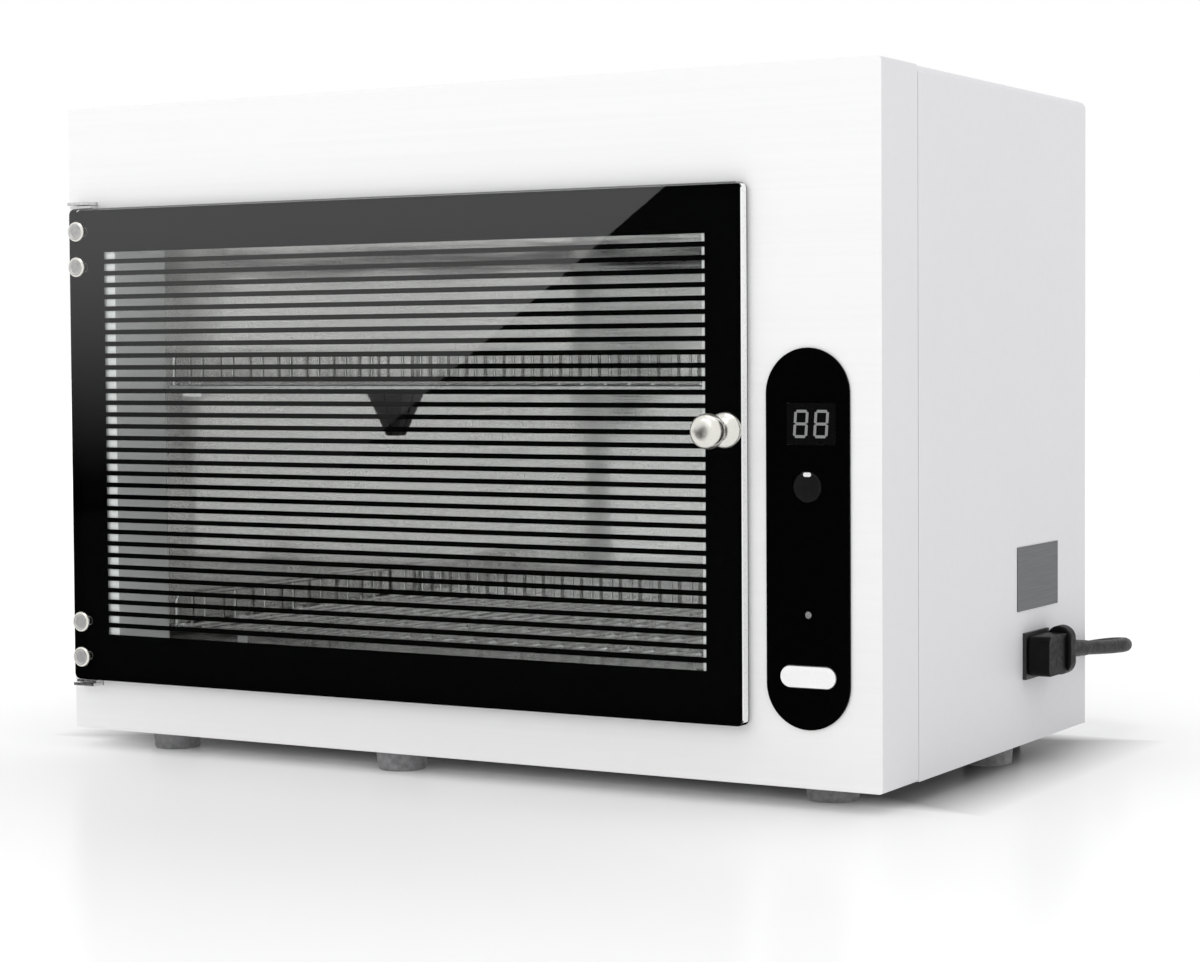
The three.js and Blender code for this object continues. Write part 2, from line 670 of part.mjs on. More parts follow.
const postPlaces = [-1, 1].flatMap((side) => [panelBottom + postMargin,
  panelBottom + panelHeight - postMargin].map((z) => [panelX + side * postInset, z]));
function controlBoard() {
  const plate = rectangle(panelX - boardWidth / 2, panelX + boardWidth / 2, panelBottom + boardMargin,
    panelBottom + panelHeight - boardMargin);
  for (const [x, z] of postPlaces) plate.holes.push(circle(x, z, boardHoleRadius, THREE.Path));
  return alongY(plate, boardY, boardY + boardThickness, 5);
}

// Four posts from the frame to the board, joined by bars
function boardCarrier() {
  const posts = postPlaces.map(([x, z]) =>
    rod(postRadius, boardY - sheet - 2 * fit, 10).translate(x, (boardY + sheet) / 2, z));
  const depth = [boardY - fit - carrierBar, boardY - fit];
  const ends = [panelBottom + postMargin, panelBottom + panelHeight - postMargin];
  const uprights = [-1, 1].map((side) => {
    const x = panelX + side * postInset;
    return box(x - carrierBar / 2, x + carrierBar / 2, ...depth, ...ends);
  });
  const rungs = ends.map((z) => box(panelX - postInset, panelX + postInset, ...depth,
    z - carrierBar / 2, z + carrierBar / 2));
  return join(...posts, ...uprights, ...rungs);
}

const displayBox = (halfWide, halfTall, y0, y1) => box(displayX - halfWide, displayX + halfWide, y0, y1,
  displayCentreZ - halfTall, displayCentreZ + halfTall);

add('control_panel', controlPanel(), blackAcrylic);
add('display_lens', displayBox(displayWidth / 2, displayHeight / 2, panelFront, sheet), blackAcrylic);
add('display_module', displayBox(moduleWidth / 2, moduleHeight / 2, sheet + fit, boardY - fit), darkPlastic);
add('timer_button', timerButton(), darkPlastic);
add('power_button', powerButton(), whitePlastic);
add('indicator_lens', rod(indicatorDiameter / 2, boardY - fit - panelFront, 12)
  .translate(panelX, (boardY - fit + panelFront) / 2, indicatorZ), greyLight);
add('timer_switch', pushSwitch(timerZ), blackPlastic);
add('power_switch', pushSwitch(powerZ), blackPlastic);
add('control_board', controlBoard(), boardGreen);
add('board_carrier', boardCarrier(), blackPlastic);

// Lamp ballast on the base of the control compartment
const ballastWidth = 38;
const ballastLength = 96;
const ballastHeight = 26;
const ballastInset = 41; // from the cabinet's right edge
const ballastFromBack = 28;
const ballastX = right - ballastInset - ballastWidth / 2;
const ballastY = cabinetDepth - ballastLength / 2 - ballastFromBack;
add('lamp_ballast', box(ballastX - ballastWidth / 2, ballastX + ballastWidth / 2,
  ballastY - ballastLength / 2, ballastY + ballastLength / 2,
  sheet + fit, sheet + fit + ballastHeight), ballastGrey);

// Door
const studClearance = 0.3;
const capPlaces = [doorTop - capFromEnd, doorTop - capFromEnd - capPitch,
  doorBottom + capFromEnd + capPitch, doorBottom + capFromEnd].map((z) => [doorLeft + capInset, z]);
const doorHoles = [...capPlaces.map((place) => [...place, capShank / 2 + studClearance]),
  [knobX, knobZ, knobStud / 2 + studClearance]];
function doorGlass() {
  const pane = roundedRectangle((doorLeft + doorRight) / 2, doorBottom + doorHeight / 2,
    doorRight - doorLeft, doorHeight, doorCorner);
  for (const [x, z, radius] of doorHoles) pane.holes.push(circle(x, z, radius, THREE.Path));
  return alongY(pane, glassFront, glassBack, 5);
}

const windowBottom = doorBottom + borderBottom;
const windowTop = doorTop - borderTop;
const gapPitch = (windowTop - windowBottom + stripeHeight) / gapCount;
function doorPrint() {
  const layer = roundedRectangle((doorLeft + doorRight) / 2, doorBottom + doorHeight / 2,
    doorRight - doorLeft - 2 * printInset, doorHeight - 2 * printInset, doorCorner - printInset);
  for (const [x, z, radius] of doorHoles) layer.holes.push(circle(x, z, radius, THREE.Path));
  for (let i = 0; i < gapCount; i += 1) {
    const z = windowBottom + i * gapPitch;
    layer.holes.push(rectangle(doorLeft + borderLeft, doorRight - borderRight, z,
      z + gapPitch - stripeHeight, THREE.Path));
  }
  return alongY(layer, glassBack + printGap, glassBack + printGap + printThickness, 5);
}

const clampFront = glassBack + runningFit;
const clampBack = clampFront + hingeClampPlate;
function hingeClamp(side) {
  const [z0, z1] = clampTab(side);
  const plateEnd = pastDoor(side, -hingeClampHeight);
  const tab = box(hingeAxisX - hingeTabHeel, hingeAxisX + hingeClampWidth, glassFront + 2 * fit,
    clampFront + fit, z0, z1);
  const plate = box(hingeAxisX - hingeClampHeel, hingeAxisX + hingeClampWidth, clampFront, clampBack,
    ...span(plateEnd, pastDoor(side, fit + hingeTab)));
  const pinHole = alongZ(circle(hingeAxisX, hingeAxisY, hingePinDiameter / 2 + fit), z0 - overrun,
    z1 + overrun, 6);
  const capHoles = capPlaces.map(([x, z]) =>
    alongY(circle(x, z, capShank / 2 + fit), clampFront - overrun, clampBack + overrun, 6));
  return cut(join(tab, plate), pinHole, ...capHoles);
}

function hingeBracket(side) {
  const [z0, z1] = bracketTab(side);
  const [x0, x1] = [hingeAxisX - bracketLeft, hingeAxisX + bracketRight];
  const leafFront = sheet + fit;
  const tab = box(x0, x1, glassFront - bracketFront, leafFront + hingeBracketTab, z0, z1);
  const far = side > 0 ? z0 + bracketLeaf : z1 - bracketLeaf;
  const leaf = box(x0, x1, leafFront, leafFront + hingeBracketTab, ...span(side > 0 ? z0 : z1, far));
  const pinHole = alongZ(circle(hingeAxisX, hingeAxisY, hingePinDiameter / 2 + fit), z0 - overrun,
    z1 + overrun, 6);
  return cut(join(tab, leaf), pinHole);
}

function hingePin(side) {
  const [near, far] = [pastDoor(side, 2 * fit), pastDoor(side, fit + hingeTab + hingeGap + hingeBracketTab)];
  return alongZ(circle(hingeAxisX, hingeAxisY, hingePinDiameter / 2), ...span(near, far), 6);
}

function capScrew([x, z]) {
  const tip = glassThickness + clampBack - glassBack;
  return turnedForward([[0, -tip], [capShank / 2, -tip], [capShank / 2, 0], [capDiameter / 2, 0],
    [capDiameter / 2, capHeight * screwEdgeShare], [capDiameter * capCrownShare / 2, capHeight],
    [0, capHeight]], x, glassFront - touch, z, 20);
}

// Spool-shaped knob: each row is a share of the widest radius and a share of the length
const knobProfileShares = [[1, 0], [1, 0.08], [0.87, 0.14], [0.52, 0.24], [0.44, 0.38], [0.5, 0.52],
  [0.76, 0.64], [0.97, 0.72], [0.98, 0.84], [0.82, 0.94], [0.46, 0.99], [0, 1]];
function doorKnob() {
  const tip = glassThickness + strikeBack - glassBack;
  const spool = knobProfileShares.map(([r, h]) => [r * knobRadius, h * knobLength]);
  return turnedForward([[0, -tip], [knobStud / 2, -tip], [knobStud / 2, 0], ...spool],
    knobX, glassFront - touch, knobZ, 24);
}

const strikeFront = glassBack + printGap + printThickness + fit;
const strikeBack = strikeFront + strikeThickness;
function strikePlate() {
  const plate = rectangle(knobX - strikeWidth / 2, knobX + strikeWidth / 2, knobZ - strikeHeight / 2,
    knobZ + strikeHeight / 2);
  plate.holes.push(circle(knobX, knobZ, knobStud / 2 + fit, THREE.Path));
  return alongY(plate, strikeFront, strikeBack, 6);
}

// Magnet of the catch, flush with the frame's face, with a flange behind it
const catchFlange = 3;
const catchFlangeDepth = 2;
function catchMagnet() {
  const [halfWide, halfTall] = [magnetWidth / 2, magnetHeight / 2];
  return join(box(knobX - halfWide, knobX + halfWide, 0, magnetDepth, knobZ - halfTall, knobZ + halfTall),
    box(knobX - halfWide - catchFlange, knobX + halfWide + catchFlange, sheet + fit,
      sheet + fit + catchFlangeDepth, knobZ - halfTall - catchFlange, knobZ + halfTall + catchFlange));
}

add('door_glass', doorGlass(), clearGlass);
add('door_print', doorPrint(), blackPrint);
for (const [side, end] of [[1, 'top'], [-1, 'bottom']]) {
  add(`hinge_clamp_${end}`, hingeClamp(side), brightSteel);
  add(`hinge_bracket_${end}`, hingeBracket(side), brightSteel);
  add(`hinge_pin_${end}`, hingePin(side), brightSteel);
}
capPlaces.forEach((place, i) => add(`hinge_cap_${i + 1}`, capScrew(place), brightSteel));
add('door_knob', doorKnob(), brightSteel);
add('strike_plate', strikePlate(), brightSteel);
add('catch_magnet', catchMagnet(), blackPlastic);
add('sensor_magnet', box(knobX - sensorWidth / 2, knobX + sensorWidth / 2, strikeFront,
  strikeFront + sensorMagnetThickness, sensorZ - sensorHeight / 2, sensorZ + sensorHeight / 2), blackPlastic);
add('door_sensor', box(knobX - sensorWidth / 2, knobX + sensorWidth / 2, sheet + fit,
  sheet + fit + sensorDepth, sensorZ - sensorHeight / 2, sensorZ + sensorHeight / 2), whitePlastic);

// Rating plate and mains inlet on the right side
const plateFromBack = 38.9;
const plateLength = 52.1;
const plateBottom = 61.5;
const plateHeight = 29.4;
const plateThickness = 0.3;
add('rating_plate', box(right + touch, right + touch + plateThickness,
  cabinetDepth - plateFromBack - plateLength, cabinetDepth - plateFromBack,
  plateBottom, plateBottom + plateHeight), silverLabel);

function mainsInlet() {
  const around = (width, height, x0, x1) => box(x0, x1, inletY - width / 2, inletY + width / 2,
    inletZ - height / 2, inletZ + height / 2);
  const outside = right + touch;
  const body = join(
    around(inletBodyWidth, inletBodyHeight, outside - inletBodyDepth, outside + inletFlange / 2),
    around(inletFlangeWidth, inletFlangeHeight, outside, outside + inletFlange));
  const mouthBack = outside - inletMouthDepth;
  const hollow = cut(body, around(inletMouthWidth, inletMouthHeight, mouthBack, outside + overrun));
  const [pinLength, pinWidth, pinHeight] = inletPin;
  const pins = [-1, 0, 1].map((i) => {
    const y = inletY + i * inletPinPitch;
    return box(mouthBack - pinWidth, mouthBack + pinLength, y - pinWidth / 2, y + pinWidth / 2,
      inletZ - pinHeight / 2, inletZ + pinHeight / 2);
  });
  return join(hollow, ...pins);
}
add('mains_inlet', mainsInlet(), blackPlastic);

// Mains lead: an angled connector in the inlet, a strain relief, a free stretch, the coil that takes up
// the spare length on the floor behind the cabinet, a tail and the plug
const headWidth = 28;
const headHeight = 18.4;
const headReach = 10.6; // how far the head stands out from the inlet's flange
const headRadius = 3.5;
const noseLength = 8;
const collarWidth = 12; // across, out from the cabinet's side
const collarHeight = 22.8;
const collarDepth = 4; // past the head, and as far into it
const lineOut = 8; // the lead's axis, out from the cabinet's side
const collarZ = 41.3;
const bootLength = 30;
const bootRoot = 4.5; // radius at the collar
const bootTip = 3.6;
const leadGap = 0.3; // between a piece of the lead and the next
const headX = right + touch + inletFlange + fit;
const headY = [inletY - headWidth / 2, inletY + headWidth / 2];
const collarY = headY[1] + collarDepth;

function cordConnector() {
  const nose = box(headX - fit - inletFlange - noseLength, headX + headReach / 2,
    inletY - inletMouthWidth / 2 + leadGap, inletY + inletMouthWidth / 2 - leadGap,
    inletZ - inletMouthHeight / 2 + leadGap, inletZ + inletMouthHeight / 2 - leadGap);
  const head = alongX(roundedRectangle(inletY, inletZ, headWidth, headHeight, headRadius), headX,
    headX + headReach, 3);
  const collar = alongY(roundedRectangle(right + lineOut, collarZ, collarWidth, collarHeight,
    collarWidth / 2), headY[1] - collarDepth, collarY, 4);
  return join(nose, head, collar);
}

// The lead falls gently as it leaves the collar
const bootSlope = -0.085;
const bootTilt = Math.atan(bootSlope);
const bootStart = [right + lineOut, collarY + leadGap - bootRoot * Math.sin(bootTilt), collarZ];
function cordBoot() {
  const profile = [[0, 0], [bootRoot, 0], [bootTip, bootLength], [0, bootLength]];
  return turned(profile, 12).rotateX(bootTilt).translate(...bootStart);
}

// Coil: its turns run in and out again in two layers, and climb a layer where the spiral reverses
const coilTurns = 6.1;
const coilPitch = 7.5;
const coilInner = 27.5; // least radius of the turns
const coilStack = 7.3; // height of the upper layer above the lower
const coilInset = 150; // from the cabinet's right edge
const coilBehind = 60; // from the back
const coilCentre = [right - coilInset, cabinetDepth + coilBehind];
const tieThickness = 0.4;
const tieWidth = 10;
const coilStepsPerTurn = 24;
const coilSides = 6;
const coilLowZ = tieThickness + touch + cordDiameter / 2 - footHeight;
const coilOuter = coilInner + coilPitch * coilTurns / 2;

class CoilCurve extends THREE.Curve {
  // t runs from -0.5 at the lower layer's start to 0.5 at the upper layer's end, past straight ends
  getPoint(share, target = new THREE.Vector3()) {
    const arc = Math.PI * coilTurns * meanRadius * 2;
    const along = share * (arc + 2 * cordDiameter) - cordDiameter;
    if (along < 0) return this.onTurns(-0.5, along, target);
    if (along > arc) return this.onTurns(0.5, along - arc, target);
    return this.onTurns(turnShare(along / arc), 0, target);
  }

  onTurns(t, beyond, target) {
    const turned = t * coilTurns * 2 * Math.PI;
    const radius = coilInner + coilPitch * Math.abs(turned) / (2 * Math.PI);
    const angle = -Math.PI / 2 - turned - Math.PI * coilTurns;
    const climb = THREE.MathUtils.smoothstep(turned, -Math.PI / 2, Math.PI / 2);
    target.set(coilCentre[0] + radius * Math.cos(angle), coilCentre[1] + radius * Math.sin(angle),
      coilLowZ + coilStack * climb);
    target.x += beyond * Math.sin(angle);
    target.y -= beyond * Math.cos(angle);
    return target;
  }
}
const meanRadius = (coilInner + coilOuter) / 2;
// Share of the winding angle at a share of the winding length, from the middle outwards
function turnShare(lengthShare) {
  const half = Math.abs(lengthShare - 0.5) * 2;
  const growth = (coilOuter - coilInner) / 2;
  const share = (Math.sqrt(coilInner ** 2 + 4 * growth * meanRadius * half) - coilInner) / (2 * growth);
  return Math.sign(lengthShare - 0.5) * share / 2;
}

// A round tube of flat sides along a curve
function tube(curve, radius, sides, steps) {
  const section = new THREE.Shape();
  for (let i = 0; i < sides; i += 1) {
    const angle = (i + 0.5) * 2 * Math.PI / sides;
    const point = [radius * Math.cos(angle), radius * Math.sin(angle)];
    if (i === 0) section.moveTo(...point);
    else section.lineTo(...point);
  }
  section.closePath();
  return new THREE.ExtrudeGeometry(section, { steps, extrudePath: curve, curveSegments: 1 });
}

// Least distance between two stretches of a tube that are not neighbours on it, less its diameter
function leastGap(curve, diameter, samples) {
  const points = curve.getSpacedPoints(samples);
  const apart = Math.ceil(3 * diameter / (curve.getLength() / samples));
  let least = Infinity;
  for (let i = 0; i < points.length; i += 1) {
    for (let j = i + apart; j < points.length; j += 1) {
      least = Math.min(least, points[i].distanceTo(points[j]));
    }
  }
  return least - diameter;
}

const coil = new CoilCurve();
const coilStart = coil.getPoint(0);
const coilEnd = coil.getPoint(1);
const coilEndWay = coilEnd.clone().sub(coil.onTurns(0.5, 0, new THREE.Vector3())).normalize();

// Free stretch, chosen by hand: out from the side face, behind the cabinet's back, up from the base
const leadRoute = [
  [8, -9, 37.8], [8, 4, 36.7], [8, 17, 35.7], [8, 29.5, 34.9], [6.6, 39.8, 34.2], [2.4, 49.4, 33.4],
  [-4.6, 57, 32.3], [-13.6, 62, 30.7], [-24, 63.6, 28.5], [-35.5, 62, 25.5], [-47.5, 57, 21.5],
  [-59.5, 49.6, 16.7], [-71.5, 41, 11.4], [-83.5, 32.2, 6.2], [-95.5, 24, 1.7], [-107.5, 17, -1.7],
  [-119, 12.2, -4], [-128.5, 10.1, -4.9],
];
const bootEnd = [bootStart[0], bootStart[1] + bootLength * Math.cos(bootTilt) + leadGap,
  bootStart[2] + bootLength * Math.sin(bootTilt)];
const leadPoints = [bootEnd, ...leadRoute.map(([x, y, z]) => [right + x, cabinetDepth + y, z]),
  [coilStart.x + cordDiameter, coilStart.y, coilStart.z], [coilStart.x + leadGap, coilStart.y, coilStart.z]];
const smooth = (points) => new THREE.CatmullRomCurve3(points.map((point) => new THREE.Vector3(...point)),
  false, 'centripetal');

// Plug: it lies on the floor at the end of the tail
const tailLength = 34;
const plugBoot = 20;
const plugBootRoot = 6;
const plugBody = 32;
const plugWidth = 26;
const plugHeight = 24;
const plugCorner = 5;
const plugBlade = [17, 6.3, 1.5];
const plugBladePitch = 12.7;
const plugEarth = 2.3;
const bladeRise = 4.5; // blades above the plug's axis
const earthDrop = 7.4; // earth pin below it
const plugAxisZ = plugHeight / 2 - footHeight;
const plugAngle = Math.atan2(coilEndWay.y, coilEndWay.x);
const alongTail = (distance, z) =>
  [coilEnd.x + coilEndWay.x * distance, coilEnd.y + coilEndWay.y * distance, z];
const tailPoints = [alongTail(leadGap, coilEnd.z), alongTail(cordDiameter, coilEnd.z),
  alongTail(tailLength / 2, (coilEnd.z + plugAxisZ) / 2),
  alongTail(tailLength - cordDiameter, plugAxisZ), alongTail(tailLength, plugAxisZ)];
function mainsPlug() {
  const boot = new THREE.CylinderGeometry(bootTip, plugBootRoot, plugBoot + plugCorner, 12)
    .rotateZ(Math.PI / 2).translate((plugBoot + plugCorner) / 2, 0, 0);
  const face = plugBoot + plugBody;
  const body = alongX(roundedRectangle(0, 0, plugWidth, plugHeight, plugCorner), plugBoot, face, 4);
  const [length, height, thickness] = plugBlade;
  const blades = [-1, 1].map((side) => box(face - plugCorner, face + length,
    side * plugBladePitch / 2 - thickness / 2, side * plugBladePitch / 2 + thickness / 2,
    bladeRise - height / 2, bladeRise + height / 2));
  const earth = rod(plugEarth, length + plugCorner, 12).rotateZ(Math.PI / 2)
    .translate(face + (length - plugCorner) / 2, 0, -earthDrop);
  return join(boot, body, ...blades, earth).rotateZ(plugAngle)
    .translate(...alongTail(tailLength + leadGap, plugAxisZ));
}

// A strap round the bundle at the coil's far side from the cabinet
const tieClearance = 0.5;
function coilTie() {
  const r = cordDiameter / 2 + tieClearance;
  const [inner, outer] = [coilCentre[1] + coilInner - r - tieClearance, coilCentre[1] + coilOuter + r];
  const top = coilLowZ + coilStack + r;
  const ring = rectangle(inner - tieThickness, outer + tieThickness, -footHeight, top + tieThickness);
  ring.holes.push(rectangle(inner, outer, tieThickness - footHeight, top, THREE.Path));
  return alongX(ring, coilCentre[0] - tieWidth / 2, coilCentre[0] + tieWidth / 2);
}

const lead = smooth(leadPoints);
const tail = smooth(tailPoints);
console.log(`coil: least gap to itself ${leastGap(coil, cordDiameter, 1200).toFixed(2)} mm, `
  + `lead ${(lead.getLength() + coil.getLength() + tail.getLength()).toFixed(0)} mm in all`);
add('cord_connector', cordConnector(), blackPlastic);
add('cord_boot', cordBoot(), blackPlastic);
add('mains_cord', tube(lead, cordDiameter / 2, 8, 16), blackPlastic);
const coilSteps = Math.round(coilTurns * coilStepsPerTurn);
add('cord_coil', tube(coil, cordDiameter / 2, coilSides, coilSteps), blackPlastic);
add('cord_tail', tube(tail, cordDiameter / 2, 8, 5), blackPlastic);
add('coil_tie', coilTie(), blackPlastic);
add('mains_plug', mainsPlug(), blackPlastic);

// Origin at the middle of the footprint of the cabinet without its lead, on the floor
const frontMost = glassFront - touch - knobLength;
const rearMost = cabinetDepth;
const rightMost = right + touch + inletFlange;
assembly.position.set(-(left + rightMost) / 2, -(frontMost + rearMost) / 2, footHeight);

const sterilizer = new THREE.Group();
sterilizer.add(assembly);
export default sterilizer;
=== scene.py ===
import json
import math
from contextlib import contextmanager

import bmesh
import bpy
from mathutils import Matrix, Vector

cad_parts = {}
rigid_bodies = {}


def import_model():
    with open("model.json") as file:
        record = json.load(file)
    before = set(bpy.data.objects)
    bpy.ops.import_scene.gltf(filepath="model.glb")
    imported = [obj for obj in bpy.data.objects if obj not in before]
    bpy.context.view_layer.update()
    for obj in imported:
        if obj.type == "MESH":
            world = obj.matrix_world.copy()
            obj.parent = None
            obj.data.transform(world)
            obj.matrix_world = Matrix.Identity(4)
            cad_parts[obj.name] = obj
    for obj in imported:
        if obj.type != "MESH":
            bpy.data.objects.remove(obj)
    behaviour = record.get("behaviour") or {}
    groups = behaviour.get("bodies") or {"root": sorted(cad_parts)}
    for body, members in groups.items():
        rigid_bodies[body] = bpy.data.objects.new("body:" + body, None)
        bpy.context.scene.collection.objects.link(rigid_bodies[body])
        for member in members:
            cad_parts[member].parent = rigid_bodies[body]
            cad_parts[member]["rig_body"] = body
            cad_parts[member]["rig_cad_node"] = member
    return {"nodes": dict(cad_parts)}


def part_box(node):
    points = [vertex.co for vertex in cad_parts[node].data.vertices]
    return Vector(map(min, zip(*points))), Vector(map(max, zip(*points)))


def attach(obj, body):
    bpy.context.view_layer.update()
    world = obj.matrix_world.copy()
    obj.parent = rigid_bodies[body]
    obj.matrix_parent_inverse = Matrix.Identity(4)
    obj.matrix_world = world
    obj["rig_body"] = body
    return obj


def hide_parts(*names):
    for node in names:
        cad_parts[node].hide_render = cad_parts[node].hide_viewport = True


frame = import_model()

bl_info = {
    "name": "Sterilizer Cabinet Finisher",
    "version": (1, 0, 0),
    "blender": (4, 5, 0),
    "location": "View3D > Sidebar > Sterilizer",
    "description": "Finishes, fine pieces, mains lead and studio for an ultraviolet sterilizer cabinet",
    "category": "Object",
}

FRONT = Vector((0, -1, 0))
BACK = Vector((0, 1, 0))
UP = Vector((0, 0, 1))
DOWN = Vector((0, 0, -1))
RIGHT = Vector((1, 0, 0))
WHITE = (1, 1, 1, 1)

# Places taken from the frame
SHELL_LOW, SHELL_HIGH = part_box("outer_shell")
GLASS_LOW, GLASS_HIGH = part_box("door_glass")
PANEL_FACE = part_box("control_panel")[0].y
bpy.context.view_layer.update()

# Camera, fitted to the corners of the cabinet
CAMERA_PLACE = Vector((0.65235, -1.10585, 0.1902))
CAMERA_TURN = math.radians(30.444)
CAMERA_PITCH = math.radians(-2.203)
CAMERA_ROLL = math.radians(-0.382)
CAMERA_SENSOR = 36  # mm wide
CAMERA_LENS = 80.26  # mm
CAMERA_SHIFT = (0.0259, -0.0217)
CAMERA_CLIP = (0.01, 60)

# Mains lead. The route is out from the side face, behind the back and up from the base's underside.
LEAD_ROUTE = (
    (0.008, -0.009, 0.0378), (0.008, 0.004, 0.0367), (0.008, 0.017, 0.0357), (0.008, 0.0295, 0.0349),
    (0.0066, 0.0398, 0.0342), (0.0024, 0.0494, 0.0334), (-0.0046, 0.057, 0.0323), (-0.0136, 0.062, 0.0307),
    (-0.024, 0.0636, 0.0285), (-0.0355, 0.062, 0.0255), (-0.0475, 0.057, 0.0215), (-0.0595, 0.0496, 0.0165),
    (-0.0715, 0.041, 0.0114), (-0.0835, 0.0322, 0.0062), (-0.0955, 0.024, 0.0017), (-0.1075, 0.017, -0.0017),
    (-0.119, 0.0122, -0.004), (-0.1285, 0.0101, -0.0049),
)
LEAD_OUT = 0.008  # the lead's axis, out from the cabinet's side
COLLAR_Z = 0.0413  # above the base's underside
BOOT_SLOPE = math.atan(-0.085)
BOOT_LENGTH = 0.030
BOOT_ROOT = 0.0045
BOOT_TIP = 0.0036
LEAD_GAP = 0.0003
COIL_TURNS = 6.1
COIL_PITCH = 0.0075
COIL_INNER = 0.0275
COIL_MEAN = 0.039  # radius
COIL_STACK = 0.0073
COIL_INSET = 0.150  # from the cabinet's right side
COIL_BEHIND = 0.060
TAIL_LENGTH = 0.034
PLUG_AXIS_Z = 0.012
LEAD_STEP = 0.003  # between the rings of the tube

# Plug, along its own X axis from the end of the lead. Rings are pairs of a radius and a height.
PLUG_BOOT_RINGS = (
    (0.0036, 0.0), (0.0041, 0.003), (0.0046, 0.0032), (0.0047, 0.0062), (0.0042, 0.0064),
    (0.0045, 0.0092), (0.0050, 0.0094), (0.0052, 0.0124), (0.0047, 0.0126), (0.0050, 0.0152),
    (0.0056, 0.0155), (0.0059, 0.0192), (0.0060, 0.0230))
PLUG_LOW, PLUG_HIGH = (0.020, -0.013, -0.012), (0.052, 0.013, 0.012)
PLUG_CORNER, PLUG_ROUND, PLUG_BACK = 0.005, 0.0006, 0.0018
GRIP_INSET, GRIP_DEPTH = 0.0022, 0.0008
GRIP_AREA = 1e-4  # square metres, more than a corner's face has
PIN_ROOT, BLADE_TIP = 0.0475, 0.069
BLADE_OUT, BLADE_UP = 0.00635, 0.0045
BLADE_HALF = (0.00075, 0.00315)
BLADE_CORNER = 0.0012
EARTH_DOWN = 0.0074
EARTH_RINGS = ((0.0023, 0.0), (0.0023, 0.0195), (0.0021, 0.0206), (0.0016, 0.0213), (0.0008, 0.0215))

# Connector: half its width and height, then the sizes of its corners and hollows
HEAD_HALF, HEAD_DEPTH, HEAD_CORNER, HEAD_ROUND = (0.014, 0.0092), 0.0106, 0.0035, 0.0009
HEAD_INSET, HEAD_DISH = 0.0026, 0.0007
NOSE_HALF, NOSE_OVERLAP, NOSE_CORNER = (0.012, 0.0076), 0.002, 0.002
COLLAR_RADIUS, COLLAR_STRAIGHT, COLLAR_DEPTH, COLLAR_ROUND = 0.006, 0.0108, 0.008, 0.0011
COLLAR_INSET, COLLAR_DISH = 0.0012, 0.0004
MOULD_EDGE = 0.0003
BOOT_TAPER = ((0.2, 0.0043), (0.4, 0.0041), (0.6, 0.0039), (0.8, 0.00375))  # share of its length, radius

# Studio
GLASS_INDEX = 1.85
DARK_WAY = Vector((-0.55, -0.83, -0.02)).normalized()  # where mirrored rays see a dark part of the room
DARK_CONE = (0.94, 0.985)  # cosines at which it begins and is full
MIRRORED = (0.9, 0.012)  # brightness outside that cone and in it
CHAMBER_GAIN = 1.15
GLASS_CROSSED = 2.5  # a ray from the chamber has crossed both faces of the glass twice
SHADE_SPREAD = (0.46, 0.585)  # from the cabinet's middle, in its widths and depths, where the shadow painted on the floor pales out
SHADE_TONES = (0.1, 1.0)  # shares of the floor's tone in the shadow painted under the cabinet and away from it
GLOW_SPREAD = (0.2, 2.0)  # metres from the cabinet's middle between which the floor's own light rises
FLOOR_GLOW = 0.45
FLOOR_SIZE = 30
CARD_PLACE, CARD_WIDTH = Vector((-1.5, -1.6, 0.5)), 3.4
CARD_SLANT = -1.39  # how far its lower right corner is moved
CARD_FADE = (0.02, 0.36)  # heights between which its light rises
AIM = Vector((0, 0, 0.15))  # where the softboxes point
FRONT_BOX_SIZE, FRONT_BOX_PLACE = 1.6, (-0.6, -2.6, 1.6)
TOP_BOX_SIZE, TOP_BOX_PLACE = 1.4, (0.3, -0.2, 2.4)

# Shapes
SMOOTH_ANGLE = math.radians(38)
ROUND_ANGLE = math.radians(32)
FLAT_ANGLE = math.radians(0.6)
TURN_SIDES = 48
SLIM_SIDES = 32
LONG_SIDES = 66  # four times a whole number and two, so that no corner lies on the middle line
RIM_REACH = 0.0022
PRINT_SPARE = 0.0001  # left clear at the very edge of the glass
FLANGE = 0.002
GAP = 0.0001  # between surfaces that would otherwise share a plane
STEM = 0.002  # radius of the studs behind the caps, the knob and the timer key

# Caps and knob: shares of their radius and of their height
CAP_FACE = 0.72
SEAT_SHARE, SEAT_GAP, SEAT_STEP = 0.97, 0.00005, 0.0002  # the chamfer where a cap sits on the glass
CAP_CROWN = ((1, 0.5), (0.95, 0.78), (0.84, 0.96), (0.74, 1), (0.66, 0.93), (0.6, 0.78), (0.3, 0.76))
CAP_MIDDLE = 0.8
KNOB_SIDES = 64
KNOB_RINGS = (
    (0.93, 0.004), (0.985, 0.012), (1.0, 0.03), (1.0, 0.07), (0.975, 0.1), (0.9, 0.135),
    (0.76, 0.175), (0.62, 0.215), (0.52, 0.26), (0.46, 0.32), (0.44, 0.38), (0.455, 0.44),
    (0.5, 0.5), (0.58, 0.555), (0.7, 0.605), (0.84, 0.655), (0.93, 0.695), (0.975, 0.73),
    (0.98, 0.77), (0.97, 0.83), (0.93, 0.89), (0.85, 0.935), (0.72, 0.97), (0.5, 0.99),
    (0.25, 0.998), (0.03, 1.0))
POINT = 0.0002  # radius left at the middle of a turned end

